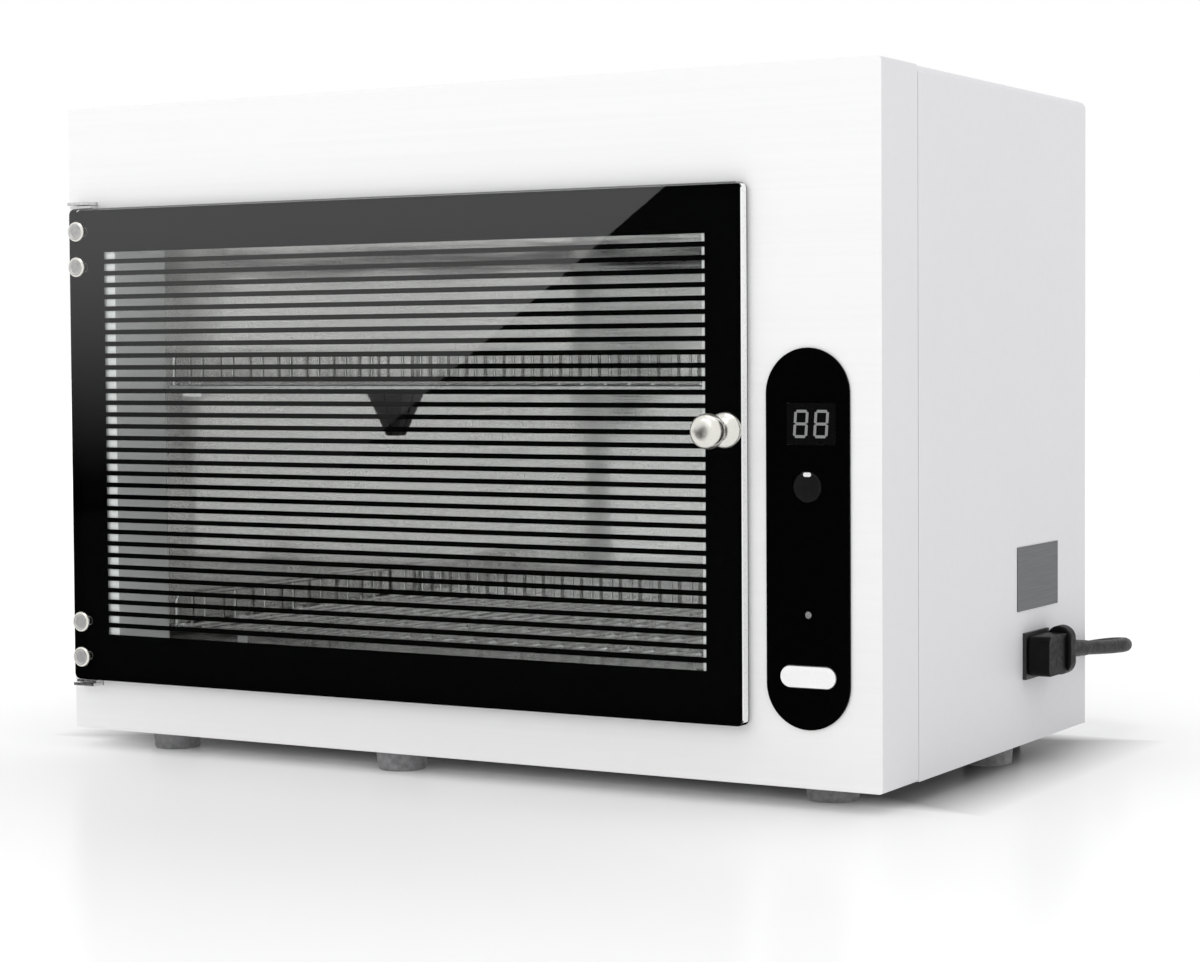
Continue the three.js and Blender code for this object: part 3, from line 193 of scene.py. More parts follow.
# Controls
FIGURE_SHAPE = 0.56  # a figure's width as a share of its height
BAR_WIDTH, BAR_THICK, BAR_LEAN = 0.00135, 0.00006, math.radians(4)
BAR_SPARE = 1.25  # bar widths left free at the corners of a figure
LENS_EDGE = 0.00006
TIMER_RADIUS, TIMER_FLANGE = 0.00625, 0.00745
FLANGE_LOW, FLANGE_HIGH = 0.002, 0.0028  # from the back of the timer key
TIMER_FACE = ((1, 0.5), (0.97, 0.85), (0.92, 1), (0.86, 1), (0.8, 0.75), (0.4, 0.62))
TIMER_MIDDLE = 0.6
MARK_RADIUS, MARK_STRAIGHT, MARK_THICK, MARK_SINK = 0.0009, 0.0018, 0.00004, 0.00002
MARK_UP = 0.82  # share of the key's radius
POWER_RADIUS, POWER_STRAIGHT = 0.0044, 0.0162
POWER_BACK = 0.0008  # how far the key's cap reaches behind the panel's face
POWER_MARGIN, POWER_GROOVE, GROOVE_DEPTH, POWER_ROUND = 0.0008, 0.00022, 0.00018, 0.00014
POWER_FLANGE_OUT, POWER_FLANGE_THICK, POWER_FLANGE_UP = 0.0012, 0.0008, 0.002
POWER_STEM_GAP, POWER_STEM_EDGE = 0.0006, 0.0001
PIPE_SIDES, PIPE_FLUTE = 16, 0.62
PIPE_RINGS = ((0.98, 0), (0.98, 0.97), (0.9, 1), (0.35, 1), (0.3, 0.985), (0.02, 0.985))

# Baskets and lamp
WELD = 0.0003  # how deep crossing wires sink into each other
RIM_DOWN = 0.0004
PITCH_DEEP, PITCH_ACROSS = 0.02475, 0.012
BRACKET_EDGE, HOLDER_EDGE = 0.0008, 0.0009
LAMP_CAP = 0.008
TUBE_END = ((0.0070, 0.5), (0.00755, 0.7), (0.0077, 1))  # radius, share of the cap
LAMP_CAP_RINGS = (
    (0.0066, 0.0), (0.0074, 0.0003), (0.008, 0.0010), (0.008, 0.0058), (0.00785, 0.0062),
    (0.00785, 0.0068), (0.008, 0.0072), (0.00795, 0.008), (0.0078, 0.0082), (0.0060, 0.0082))
FILAMENT_HALF, FILAMENT_AXIS, FILAMENT_POST = 0.004, 0.012, 0.007
FILAMENT_COIL, FILAMENT_WIRE, FILAMENT_STEPS = 0.0009, 0.0004, 60

# Feet and screws
FOOT_RINGS = (
    (0.0022, -0.005), (0.005, -0.005), (0.005, -0.0088), (0.0053, -0.009), (0.0098, -0.009),
    (0.0107, -0.0087), (0.01105, -0.0079), (0.0113, -0.0045))
FOOT_BORE, FOOT_RECESS = 0.0022, 0.004
SCREW_HEAD, SCREW_HIGH, SCREW_SHANK, SCREW_LONG = 0.0038, 0.0019, 0.002, 0.0085
SCREW_RINGS = ((0.97, 0), (1, 0.1), (0.97, 0.45), (0.86, 0.75), (0.66, 0.93), (0.4, 1))
SLOT_WIDE, SLOT_REACH, SLOT_FLOOR, SLOT_TOP = 0.13, 0.55, 0.35, 1.5  # shares of the head
BASE_SCREW_SCALE, REAR_SCREW_SCALE = (0.79, 0.79, 0.74), (0.79, 0.79, 0.6)
REAR_INSET, REAR_END = 0.007, 0.030
LABEL_MARGIN, LABEL_SINK, LABEL_EDGE = 0.0012, 0.00008, 0.00005


def length_setting(name, description, default, least=0.0):
    """A length in metres that the user can change."""
    return bpy.props.FloatProperty(
        name=name, description=description, default=default, min=least, unit="LENGTH", subtype="DISTANCE")


def colour_setting(name, description, default):
    """A colour that the user can change."""
    return bpy.props.FloatVectorProperty(
        name=name, description=description, default=default, min=0.0, max=1.0, subtype="COLOR")


def light_setting(name, description, default, **more):
    """A brightness or power that the user can change."""
    return bpy.props.FloatProperty(name=name, description=description, default=default, min=0.0, **more)


class SterilizerSizes(bpy.types.PropertyGroup):
    """Sizes of the fine shapes that are added to the frame's pieces"""

    glass_edge: length_setting("Glass edge", "Polished chamfer round the door glass", 0.0004)
    fine_edge: length_setting("Fine edge", "Rounding of small metal pieces", 0.00015)
    wire_width: length_setting("Basket wire", "Diameter of the basket's wires", 0.0018, 0.0005)
    rail_width: length_setting("Basket rail", "Diameter of the basket's front rail", 0.003, 0.0005)
    wire_bend: length_setting("Wire bend", "Radius at which the basket's wires turn up", 0.003)
    figure_height: length_setting("Figure height", "Height of a figure on the display", 0.0118, 0.001)
    figure_pitch: length_setting("Figure pitch", "Distance between the figures' middles", 0.0092, 0.001)
    lead_diameter: length_setting("Lead diameter", "Diameter of the mains lead's sheath", 0.0068, 0.002)
    lead_length: length_setting(
        "Lead length", "Real length of the mains lead between its strain relief and its plug", 1.78, 0.3)


class SterilizerColours(bpy.types.PropertyGroup):
    """Base colours of the finishes"""

    front_paint: colour_setting("Front paint", "Paint of the front frame", (0.88, 0.88, 0.88))
    # painted shade: the front's white paint set darker for the faces turned away from the front light
    side_paint: colour_setting(
        "Side paint", "Paint of the outer shell, the base and the rear panel", (0.71, 0.705, 0.725))
    chamber: colour_setting("Chamber", "Polished steel of the chamber", (0.88, 0.87, 0.865))
    bright_metal: colour_setting("Bright metal", "Plated wires and hinge pieces", (0.75, 0.75, 0.75))
    door_print: colour_setting("Door print", "Black print on the back of the glass", (0.0012, 0.0012, 0.0013))
    figures: colour_setting("Figures", "Lit bars of the display", (0.62, 0.63, 0.63))
    lead: colour_setting("Lead", "Sheath of the mains lead and its mouldings", (0.0035, 0.0035, 0.004))


class SterilizerStudio(bpy.types.PropertyGroup):
    """Lights and floor of the studio"""

    sky: light_setting("Sky", "Brightness of the even light from all round", 0.91)
    front_box: light_setting("Front softbox", "Power of the softbox in front of the door", 7.0, unit="POWER")
    left_card: light_setting("Left card", "Brightness of the card that the door glass mirrors", 0.9)
    top_box: light_setting("Top softbox", "Power of the softbox above the cabinet", 9.0, unit="POWER")
    floor_tone: light_setting("Floor tone", "How pale the floor is", 0.99, max=1.0)


# Selecting, editing and placing

def clear_selection():
    """Leave edit mode and deselect everything."""
    if bpy.context.object and bpy.context.object.mode != "OBJECT":
        bpy.ops.object.mode_set(mode="OBJECT")
    bpy.ops.object.select_all(action="DESELECT")


def take(piece):
    """Make the piece the only selected and active object."""
    clear_selection()
    piece.select_set(True)
    bpy.context.view_layer.objects.active = piece


def rename(piece, name):
    """Give the object and its mesh the name."""
    piece.name = piece.data.name = name
    return piece


@contextmanager
def editing(piece, kind="FACE", action="DESELECT"):
    """Edit mode for elements of one kind, with nothing or everything selected."""
    take(piece)
    bpy.ops.object.mode_set(mode="EDIT")
    bpy.ops.mesh.select_mode(type=kind)
    bpy.ops.mesh.select_all(action=action)
    yield
    bpy.ops.object.mode_set(mode="OBJECT")


def pick(piece, kind, test):
    """Select the vertices, edges or faces that pass the test, in edit mode."""
    mesh = bmesh.from_edit_mesh(piece.data)
    for element in {"VERT": mesh.verts, "EDGE": mesh.edges, "FACE": mesh.faces}[kind]:
        element.select_set(bool(test(element)))
    mesh.select_flush_mode()
    bmesh.update_edit_mesh(piece.data)


def shift(piece, test, move):
    """Move the points that pass the test, in edit mode."""
    pick(piece, "VERT", test)
    bpy.ops.transform.translate(value=move)


def sink(piece, test, *steps):
    """Inset the faces that pass the test and move them, once for each pair of an inset and a move."""
    with editing(piece):
        pick(piece, "FACE", test)
        for inset, move in steps:
            bpy.ops.mesh.inset(thickness=inset)
            bpy.ops.transform.translate(value=move)


def outward(piece):
    """Merge doubled points and turn all faces outwards."""
    with editing(piece, action="SELECT"):
        bpy.ops.mesh.remove_doubles(threshold=1e-6)
        bpy.ops.mesh.normals_make_consistent(inside=False)


def settle(piece):
    """Put the object's place, turn and size into its mesh."""
    take(piece)
    bpy.ops.object.transform_apply(location=True, rotation=True, scale=True)


def place(piece, origin, front, up=None):
    """Stand the piece at origin with its own Z towards front and its own Y towards up."""
    if up is None:
        up = UP if abs(front.z) < 0.9 else BACK
    z_axis = front.normalized()
    x_axis = up.cross(z_axis).normalized()
    turn = Matrix((x_axis, z_axis.cross(x_axis), z_axis)).transposed().to_4x4()
    piece.matrix_world = Matrix.Translation(origin) @ turn
    settle(piece)


def apply_modifier(piece, kind, **settings):
    """Add a modifier, set it and apply it."""
    take(piece)
    modifier = piece.modifiers.new(kind.lower(), kind)
    for key, value in settings.items():
        setattr(modifier, key, value)
    bpy.ops.object.modifier_apply(modifier=modifier.name)


def soften(piece, edge=0.0, segments=2):
    """Round the sharp edges and shade the rest smooth."""
    if edge > 0:
        apply_modifier(piece, "BEVEL", width=edge, segments=segments, limit_method="ANGLE",
                       angle_limit=ROUND_ANGLE, use_clamp_overlap=True, miter_outer="MITER_ARC")
    take(piece)
    bpy.ops.object.shade_smooth_by_angle(angle=SMOOTH_ANGLE)
    apply_modifier(piece, "WEIGHTED_NORMAL", keep_sharp=True)


def joined(name, *pieces):
    """Join the pieces into one object."""
    take(pieces[0])
    for piece in pieces[1:]:
        piece.select_set(True)
    bpy.ops.object.join()
    return rename(pieces[0], name)


def copy_of(piece, name):
    """A copy with its own mesh."""
    take(piece)
    bpy.ops.object.duplicate(linked=False)
    return rename(bpy.context.object, name)


def hand_over(piece, slot, *replaced, body="root", finish=None):
    """Give the piece its finish, body and slot, and let it stand for the frame's nodes."""
    settle(piece)
    piece.data.materials.clear()
    piece.data.materials.append(finish_for(finish or slot))
    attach(piece, body)
    if replaced:
        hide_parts(*replaced)


def stand(piece, spot, front, slot, *replaced, up=None, **more):
    """Stand the piece in its place, shade it smooth and hand it over."""
    place(piece, spot, front, up)
    soften(piece)
    hand_over(piece, slot, *replaced, **more)


def paint_faces(piece, slot, test):
    """Give the faces that pass the test a finish of their own."""
    piece.data.materials.append(finish_for(slot))
    piece.active_material_index = len(piece.data.materials) - 1
    with editing(piece):
        pick(piece, "FACE", test)
        bpy.ops.object.material_slot_assign()


# Basic shapes

def turned_piece(name, rings, sides=TURN_SIDES, hollow=False):
    """A body of revolution on its own Z axis. Rings are (radius, height) pairs from the base up."""
    radius, height = rings[0]
    clear_selection()
    bpy.ops.mesh.primitive_circle_add(
        vertices=sides, radius=radius, location=(0, 0, height), fill_type="NOTHING" if hollow else "NGON")
    piece = bpy.context.object
    settle(piece)
    steps = list(rings) + ([rings[0]] if hollow else [])
    with editing(piece, "EDGE" if hollow else "FACE", "SELECT"):
        for (r0, h0), (r1, h1) in zip(steps, steps[1:]):
            bpy.ops.mesh.extrude_region_move(TRANSFORM_OT_translate={"value": (0, 0, h1 - h0)})
            bpy.ops.transform.resize(value=(r1 / r0, r1 / r0, 1), center_override=(0, 0, h1))
    outward(piece)
    return rename(piece, name)


def long_disc(name, radius, straight, depth, sides=LONG_SIDES):
    """A disc drawn out along its own Y, as thick as depth along its own Z."""
    clear_selection()
    bpy.ops.mesh.primitive_circle_add(vertices=sides, radius=radius, fill_type="NGON")
    piece = bpy.context.object
    with editing(piece, "VERT"):
        for side in (1, -1):
            shift(piece, lambda v: v.co.y * side > 0 and abs(v.co.y) <= radius * 1.0001,
                  (0, side * straight / 2, 0))
    with editing(piece, action="SELECT"):
        bpy.ops.mesh.extrude_region_move(TRANSFORM_OT_translate={"value": (0, 0, depth)})
    outward(piece)
    return rename(piece, name)


def block(name, low, high, corner=0.0, axis=RIGHT, segments=5):
    """A box between two corners, with the edges that run along the axis rounded."""
    low, high = Vector(low), Vector(high)
    clear_selection()
    bpy.ops.mesh.primitive_cube_add(size=1, location=(low + high) / 2, scale=high - low)
    piece = bpy.context.object
    settle(piece)
    if corner > 0:
        with editing(piece, "EDGE"):
            pick(piece, "EDGE", lambda e: abs(
                (e.verts[1].co - e.verts[0].co).normalized().dot(axis)) > 0.99)
            bpy.ops.mesh.bevel(offset=corner, segments=segments, affect="EDGES")
    return rename(piece, name)


def dressed_copy(node, name, edge=0.0, segments=2):
    """A copy of a frame node, merged into clean faces. Its edges are rounded where it has no holes."""
    piece = copy_of(frame["nodes"][node], name)
    bpy.ops.object.parent_clear(type="CLEAR_KEEP_TRANSFORM")
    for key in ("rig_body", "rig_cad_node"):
        del piece[key]
    with editing(piece, action="SELECT"):
        bpy.ops.mesh.customdata_custom_splitnormals_clear()
        bpy.ops.mesh.remove_doubles(threshold=2e-6)
        bpy.ops.mesh.dissolve_limited(angle_limit=FLAT_ANGLE)
    soften(piece, edge, segments)
    return piece


def dress(node, name, slot, edge=0.0, segments=2, body="root", finish=None):
    """A dressed copy that stands for its node."""
    piece = dressed_copy(node, name, edge, segments)
    hand_over(piece, slot, node, body=body, finish=finish)
    return piece


def rounded_path(corners, radius, steps=4):
    """The corner points with each inner corner turned into an arc."""
    points = [Vector(corner) for corner in corners]
    made = [points[0]]
    for before, here, after in zip(points, points[1:], points[2:]):
        way_in = (before - here).normalized()
        way_out = (after - here).normalized()
        half = way_in.angle(way_out) / 2
        reach = radius / math.tan(half)
        centre = here + (way_in + way_out).normalized() * (radius / math.sin(half))
        start = (here + way_in * reach - centre).normalized()
        end = (here + way_out * reach - centre).normalized()
        made += [centre + start.slerp(end, i / steps) * radius for i in range(steps + 1)]
    return made + [points[-1]]


def wire_piece(name, runs, width, sides=2):
    """Round wires along several runs of points, as one mesh."""
    curve = bpy.data.curves.new(name, "CURVE")
    curve.dimensions = "3D"
    curve.bevel_depth = width / 2
    curve.bevel_resolution = sides
    curve.use_fill_caps = True
    for run in runs:
        spline = curve.splines.new("POLY")
        spline.points.add(len(run) - 1)
        for point, co in zip(spline.points, run):
            point.co = (*co, 1)
    piece = bpy.data.objects.new(name, curve)
    bpy.context.scene.collection.objects.link(piece)
    take(piece)
    bpy.ops.object.convert(target="MESH")
    piece = rename(bpy.context.object, name)
    outward(piece)
    take(piece)
    bpy.ops.object.shade_smooth_by_angle(angle=SMOOTH_ANGLE)
    return piece


# Nodes and finishes

def fill(tree, node, values):
    """Set the node's inputs, or link those whose value is a socket or a node with one main output."""
    for key, value in values.items():
        if isinstance(value, bpy.types.Node):
            value = value.outputs[0]
        if isinstance(value, bpy.types.NodeSocket):
            tree.links.new(value, node.inputs[key])
        else:
            node.inputs[key].default_value = value
    return node


def add(tree, kind, values=None, **settings):
    """A new node with its settings and inputs."""
    node = tree.nodes.new(f"ShaderNode{kind}")
    for key, value in settings.items():
        setattr(node, key, value)
    return fill(tree, node, values or {})


def blank(name):
    """A material without its shader, and its node tree."""
    material = bpy.data.materials.new(name)
    material.use_nodes = True
    material.node_tree.nodes.remove(material.node_tree.nodes["Principled BSDF"])
    return material, material.node_tree


def noise(stretch, detail):
    """Cloudy noise."""
    return "TexNoise", "Fac", stretch, {"Detail": detail}, {}


def cells(stretch):
    """Distances from the middles of irregular cells."""
    return "TexVoronoi", "Distance", stretch, {}, {}


def waves(stretch, direction):
    """Regular bands along one axis."""
    return "TexWave", "Fac", stretch, {}, {"bands_direction": direction}


class Finish:
    """A material whose colour, gloss and relief come from patterns on Object coordinates."""

    def __init__(self, name, colour, roughness, metallic=0.0, level=0.5,
                 tone=None, gloss=None, reliefs=(), glow=0.0, sockets=None):
        if isinstance(colour, str):
            colour = getattr(bpy.context.scene.sterilizer_colours, colour)
        self.colour = tuple(colour)
        self.material = bpy.data.materials.new(name)
        self.material.use_nodes = True
        self.tree = self.material.node_tree
        self.shader = self.tree.nodes["Principled BSDF"]
        self.place = add(self.tree, "TexCoord").outputs["Object"]
        values = {"Base Color": (*self.colour, 1), "Roughness": roughness, "Metallic": metallic,
                  "Specular IOR Level": level}
        if glow:
            values.update({"Emission Color": (*self.colour, 1), "Emission Strength": glow})
        fill(self.tree, self.shader, {**values, **(sockets or {})})
        if tone:
            self.tone(self.pattern(*tone[0]), *tone[1:])
        if gloss:
            self.gloss(self.pattern(*gloss[0]), *gloss[1:])
        bump = {}
        for pattern, depth, strength in reliefs:
            values = {"Height": self.pattern(*pattern), "Distance": depth, "Strength": strength}
            bump = {"Normal": add(self.tree, "Bump", {**values, **bump})}
        fill(self.tree, self.shader, bump)

    def pattern(self, kind, output, stretch, values, settings):
        """A texture from 0 to 1, stretch being its patterns per metre along each axis."""
        scale = stretch if isinstance(stretch, tuple) else (stretch,) * 3
        mapped = add(self.tree, "Mapping", {"Vector": self.place, "Scale": scale})
        texture = add(self.tree, kind, {"Scale": 1.0, "Vector": mapped, **values}, **settings)
        return texture.outputs[output]

    def tone(self, pattern, dark, light, low=0.35, high=0.65):
        """Colour the surface between two shares of its base colour."""
        ramp = add(self.tree, "ValToRGB", {"Fac": pattern})
        for element, position, share in zip(ramp.color_ramp.elements, (low, high), (dark, light)):
            element.position = position
            element.color = (*[min(1.0, c * share) for c in self.colour], 1)
        fill(self.tree, self.shader, {"Base Color": ramp})

    def gloss(self, pattern, smooth, rough, low=0.35, high=0.65):
        """Vary the roughness between two values."""
        fill(self.tree, self.shader, {"Roughness": add(self.tree, "MapRange", {
            "Value": pattern, "From Min": low, "From Max": high, "To Min": smooth, "To Max": rough})})


STREAKS = noise((5, 5, 520), 4)
BRUSHED = noise((14, 14, 900), 3)
GRAIN = noise((12, 40, 1400), 3)
TRACES = cells((420, 20, 420))
SPANGLE = cells(160)

# Each finish: tone is a pattern with the shares of the colour that it runs between, gloss a pattern with
# two roughnesses, and a relief a pattern with its depth in metres and its strength
FINISHES = {
    # semi-gloss white with faint brushed streaks across
    "white_paint": dict(
        name="front_paint", colour="front_paint", roughness=0.36,
        tone=(STREAKS, 0.985, 1.005, 0.3, 0.7), gloss=(STREAKS, 0.34, 0.44),
        reliefs=((noise(900, 2), 0.00004, 0.35), (STREAKS, 0.00003, 0.4))),
    # satin white powder paint with a fine orange peel; its colour is the front's white set darker, as painted
    # shade on the sides, the top, the base and the back
    "side_paint": dict(
        colour="side_paint", roughness=0.48, tone=(noise(7, 3), 0.985, 1.01),
        gloss=(noise(260, 2), 0.42, 0.54), reliefs=((noise(620, 2), 0.00006, 0.4),)),
    # polished sheet that is a little wavy and faintly brushed
    "chamber_steel": dict(
        colour="chamber", roughness=0.09, metallic=1.0, tone=(noise(9, 2), 0.95, 1.02),
        gloss=(BRUSHED, 0.07, 0.13),
        reliefs=((noise((17, 17, 9), 1), 0.0024, 0.5), (BRUSHED, 0.00002, 0.3))),
    # bright plating with fine scratches and small dull spots
    "bright_steel": dict(
        colour="bright_metal", roughness=0.2, metallic=1.0, tone=(noise(240, 3), 0.9, 1.04),
        gloss=(noise(700, 3), 0.12, 0.26), reliefs=((noise((1500, 1500, 300), 2), 0.00001, 0.4),)),
    # polished nickel with a trace of handling
    "polished_knob": dict(
        colour=(0.86, 0.845, 0.79), roughness=0.24, metallic=1.0, tone=(noise(160, 2), 0.98, 1.01),
        gloss=(noise(420, 3), 0.22, 0.28), reliefs=((noise(300, 1), 0.00003, 0.25),)),
    # satin steel in the middle of a cap
    "cap_face": dict(
        colour=(0.62, 0.615, 0.61), roughness=0.42, metallic=1.0, tone=(noise(700, 3), 0.9, 1.06),
        gloss=(noise(1200, 2), 0.36, 0.5)),
    # ground and polished edge of the glass, coloured pale as painted light on the rim faces turned to the
    # right
    "painted_lit_edge": dict(
        colour=(0.92, 0.925, 0.925), roughness=0.3, tone=(noise(900, 2), 0.97, 1.02),
        gloss=(noise(600, 2), 0.25, 0.4)),
    # ground edge of the glass, coloured dark as painted shade on the rim faces turned up
    "painted_shaded_edge": dict(
        colour=(0.15, 0.155, 0.155), roughness=0.4, tone=(noise(900, 2), 0.9, 1.08),
        gloss=(noise(600, 2), 0.3, 0.5)),
    # matt moulded rubber, scuffed pale in places
    "foot_grey": dict(
        colour=(0.20, 0.20, 0.205), roughness=0.7, tone=(noise(300, 4), 0.8, 1.25),
        gloss=(noise(500, 2), 0.6, 0.82), reliefs=((noise(2200, 2), 0.00005, 0.5),)),
    # gloss black acrylic with a trace of dust
    "black_acrylic": dict(
        colour=(0.001, 0.001, 0.001), roughness=0.06, level=0.2, tone=(noise(500, 3), 0.8, 1.3),
        gloss=(noise(900, 4), 0.05, 0.16, 0.5, 0.8)),
    # satin dark grey moulding
    "dark_button": dict(
        colour=(0.005, 0.005, 0.0053), roughness=0.42, level=0.12, tone=(noise(420, 3), 0.8, 1.2),
        reliefs=((noise(2600, 2), 0.00002, 0.5),)),
    # gloss white moulding
    "white_button": dict(
        colour=(0.93, 0.93, 0.93), roughness=0.22, tone=(noise(200, 2), 0.985, 1.0),
        gloss=(noise(800, 3), 0.18, 0.28)),
    # clear grey light pipe
    "indicator_grey": dict(
        colour=(0.30, 0.31, 0.31), roughness=0.2, tone=(noise(1800, 2), 0.6, 1.2),
        sockets={"Coat Weight": 0.5}),
    # moulded black with a spark-eroded texture
    "black_plastic": dict(
        colour=(0.012, 0.012, 0.013), roughness=0.45, tone=(noise(350, 3), 0.8, 1.25),
        gloss=(noise(700, 2), 0.38, 0.55), reliefs=((cells(2400), 0.00003, 0.5),)),
    # moulded white, a little warm
    "white_plastic": dict(
        colour=(0.80, 0.80, 0.78), roughness=0.4, tone=(noise(180, 3), 0.96, 1.02),
        reliefs=((noise(1500, 2), 0.00003, 0.4),)),
    # solder mask with the traces showing through it
    "board_green": dict(
        colour=(0.02, 0.12, 0.05), roughness=0.35, tone=(TRACES, 0.7, 1.5, 0.3, 0.45),
        reliefs=((TRACES, 0.00005, 0.6),)),
    # plated sheet with a spangle
    "ballast_grey": dict(
        colour=(0.30, 0.31, 0.32), roughness=0.42, metallic=0.7, tone=(SPANGLE, 0.85, 1.2, 0.2, 0.6),
        gloss=(SPANGLE, 0.32, 0.52, 0.2, 0.7)),
    # silver film, brushed across, with nothing printed on it
    "rating_silver": dict(
        colour=(0.085, 0.089, 0.097), roughness=0.45, metallic=0.25, tone=(GRAIN, 0.9, 1.12),
        gloss=(GRAIN, 0.3, 0.46)),
    # satin black sheath and mouldings
    "lead_black": dict(
        colour="lead", roughness=0.42, level=0.1, tone=(noise(260, 3), 0.75, 1.35),
        gloss=(noise(420, 3), 0.34, 0.5), reliefs=((noise(1100, 2), 0.00004, 0.45),)),
    # woven strap: two crossed sets of bands
    "tie_black": dict(
        colour=(0.010, 0.010, 0.011), roughness=0.75, tone=(waves(1, "X"), 0.7, 1.6),
        reliefs=((waves(260, "X"), 0.00012, 0.7), (waves(260, "Z"), 0.00012, 0.7)),
        sockets={"Sheen Weight": 0.2}),
    # black print on the back of the glass, with the weave of its screen
    "door_black": dict(
        colour="door_print", roughness=0.4, level=0.0, tone=(noise(300, 3), 0.8, 1.2),
        reliefs=((cells(3000), 0.00001, 0.4),)),
    # dimly lit display bars
    "lit_figures": dict(
        colour="figures", roughness=0.4, gloss=(noise(900, 2), 0.35, 0.5), glow=0.28,
        sockets={"Base Color": (0.05, 0.05, 0.05, 1)}),
    # tinted window of the display, a shade paler than the panel
    "display_glow": dict(
        name="display_window", colour=(0.0035, 0.0035, 0.0037), roughness=0.1, level=0.16,
        tone=(noise(1600, 2), 0.7, 1.5)),
    # pale grey finish of the short bar at the top of the timer key
    "white_mark": dict(colour=(0.75, 0.75, 0.75), roughness=0.4, tone=(noise(1500, 2), 0.94, 1.04)),
    # nickel-plated brass contacts
    "contact_metal": dict(
        colour=(0.72, 0.68, 0.58), roughness=0.2, metallic=1.0, tone=(noise(500, 3), 0.88, 1.05),
        gloss=(noise(900, 3), 0.14, 0.32)),
}

# Clear sheets: name, tint, roughness and refractive index, which is 1 where nothing is mirrored
CLEAR = {
    "door_glass": ("door_glass_clear", (0.975, 0.985, 0.98), 0.004, GLASS_INDEX),
    "glass_inner": ("glass_inner", (0.975, 0.985, 0.98), 0.004, 1.0),
    "lamp_glass": ("lamp_quartz", (0.86, 0.9, 0.93), 0.02, 1.46),
}
MADE = {}


def see_through(name, tint, roughness, index):
    """A clear sheet: what is behind it shows, with the reflection of its outer side over it."""
    material, tree = blank(name)
    smears = add(tree, "TexNoise", {
        "Scale": 30, "Detail": 4, "Vector": add(tree, "TexCoord").outputs["Object"]}).outputs["Fac"]
    span = add(tree, "MapRange", {"Value": smears, "To Min": roughness, "To Max": roughness * 3})
    inner = add(tree, "NewGeometry").outputs["Backfacing"]
    outer = add(tree, "Math", {0: add(tree, "Fresnel", {"IOR": index}), 1: inner},
                operation="SUBTRACT", use_clamp=True)
    clear = add(tree, "BsdfTransparent", {"Color": (*tint, 1)})
    mirror = add(tree, "BsdfGlossy", {"Roughness": span})
    mix = add(tree, "MixShader", {"Fac": outer, 1: clear, 2: mirror})
    fill(tree, tree.nodes["Material Output"], {"Surface": mix})
    return material


def finish_for(slot):
    """The material of that name, made once."""
    if slot not in MADE:
        MADE[slot] = see_through(*CLEAR[slot]) if slot in CLEAR else Finish(
            **{"name": slot, **FINISHES[slot]}).material
    return MADE[slot]


# Mains lead

def smooth_route(points, step):
    """Points of a centripetal Catmull-Rom curve through the given ones, about step apart."""
    points = [Vector(p) for p in points]
    ends = [2 * points[0] - points[1]] + points + [2 * points[-1] - points[-2]]
    made = []
    for p0, p1, p2, p3 in zip(ends, ends[1:], ends[2:], ends[3:]):
        d0, d1, d2 = ((b - a).length ** 0.5 for a, b in ((p0, p1), (p1, p2), (p2, p3)))
        out = ((p1 - p0) / d0 - (p2 - p0) / (d0 + d1) + (p2 - p1) / d1) * d1
        into = ((p2 - p1) / d1 - (p3 - p1) / (d1 + d2) + (p3 - p2) / d2) * d1
        count = max(1, round((p2 - p1).length / step))
        for i in range(count):
            t = i / count
            made.append(p1 * (2 * t ** 3 - 3 * t ** 2 + 1) + out * (t ** 3 - 2 * t ** 2 + t)
                        + p2 * (3 * t ** 2 - 2 * t ** 3) + into * (t ** 3 - t ** 2))
    return made + [points[-1]]


def base_corner():
    """The cabinet's lower rear right corner."""
    return Vector((SHELL_HIGH.x, SHELL_HIGH.y, SHELL_LOW.z))


def boot_ends():
    """Where the strain relief starts at the collar, and where the lead leaves it."""
    collar_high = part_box("cord_boot")[0].y
    start = Vector((SHELL_HIGH.x + LEAD_OUT, collar_high, SHELL_LOW.z + COLLAR_Z))
    start.y -= BOOT_ROOT * math.sin(BOOT_SLOPE)
    along = Vector((0, math.cos(BOOT_SLOPE), math.sin(BOOT_SLOPE)))
    return start, start + along * BOOT_LENGTH + Vector((0, LEAD_GAP, 0))


def coil_point(turned, beyond, diameter):
    """A point of the coil at an angle from its middle, or past an end of it."""
    centre = base_corner() + Vector((-COIL_INSET, COIL_BEHIND, 0))
    radius = COIL_INNER + COIL_PITCH * abs(turned) / (2 * math.pi)
    angle = -math.pi / 2 - turned - math.pi * COIL_TURNS
    share = min(1.0, max(0.0, turned / math.pi + 0.5))
    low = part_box("cord_coil")[0].z + diameter / 2
    height = low + COIL_STACK * share * share * (3 - 2 * share)
    return Vector((centre.x + radius * math.cos(angle) + beyond * math.sin(angle),
                   centre.y + radius * math.sin(angle) - beyond * math.cos(angle), height))


def coil_points(diameter):
    """The coil from its lower end to its upper end, with a straight diameter at each."""
    limit = math.pi * COIL_TURNS
    count = round(COIL_TURNS * 2 * math.pi * COIL_MEAN / LEAD_STEP)
    turns = [coil_point(limit * (2 * i / count - 1), 0, diameter) for i in range(count + 1)]
    return [coil_point(-limit, -diameter, diameter)] + turns + [coil_point(limit, diameter, diameter)]


def tail_frame(diameter):
    """The coil's upper end and the level direction in which it leaves."""
    limit = math.pi * COIL_TURNS
    end = coil_point(limit, diameter, diameter)
    return end, (end - coil_point(limit, 0, diameter)).normalized()


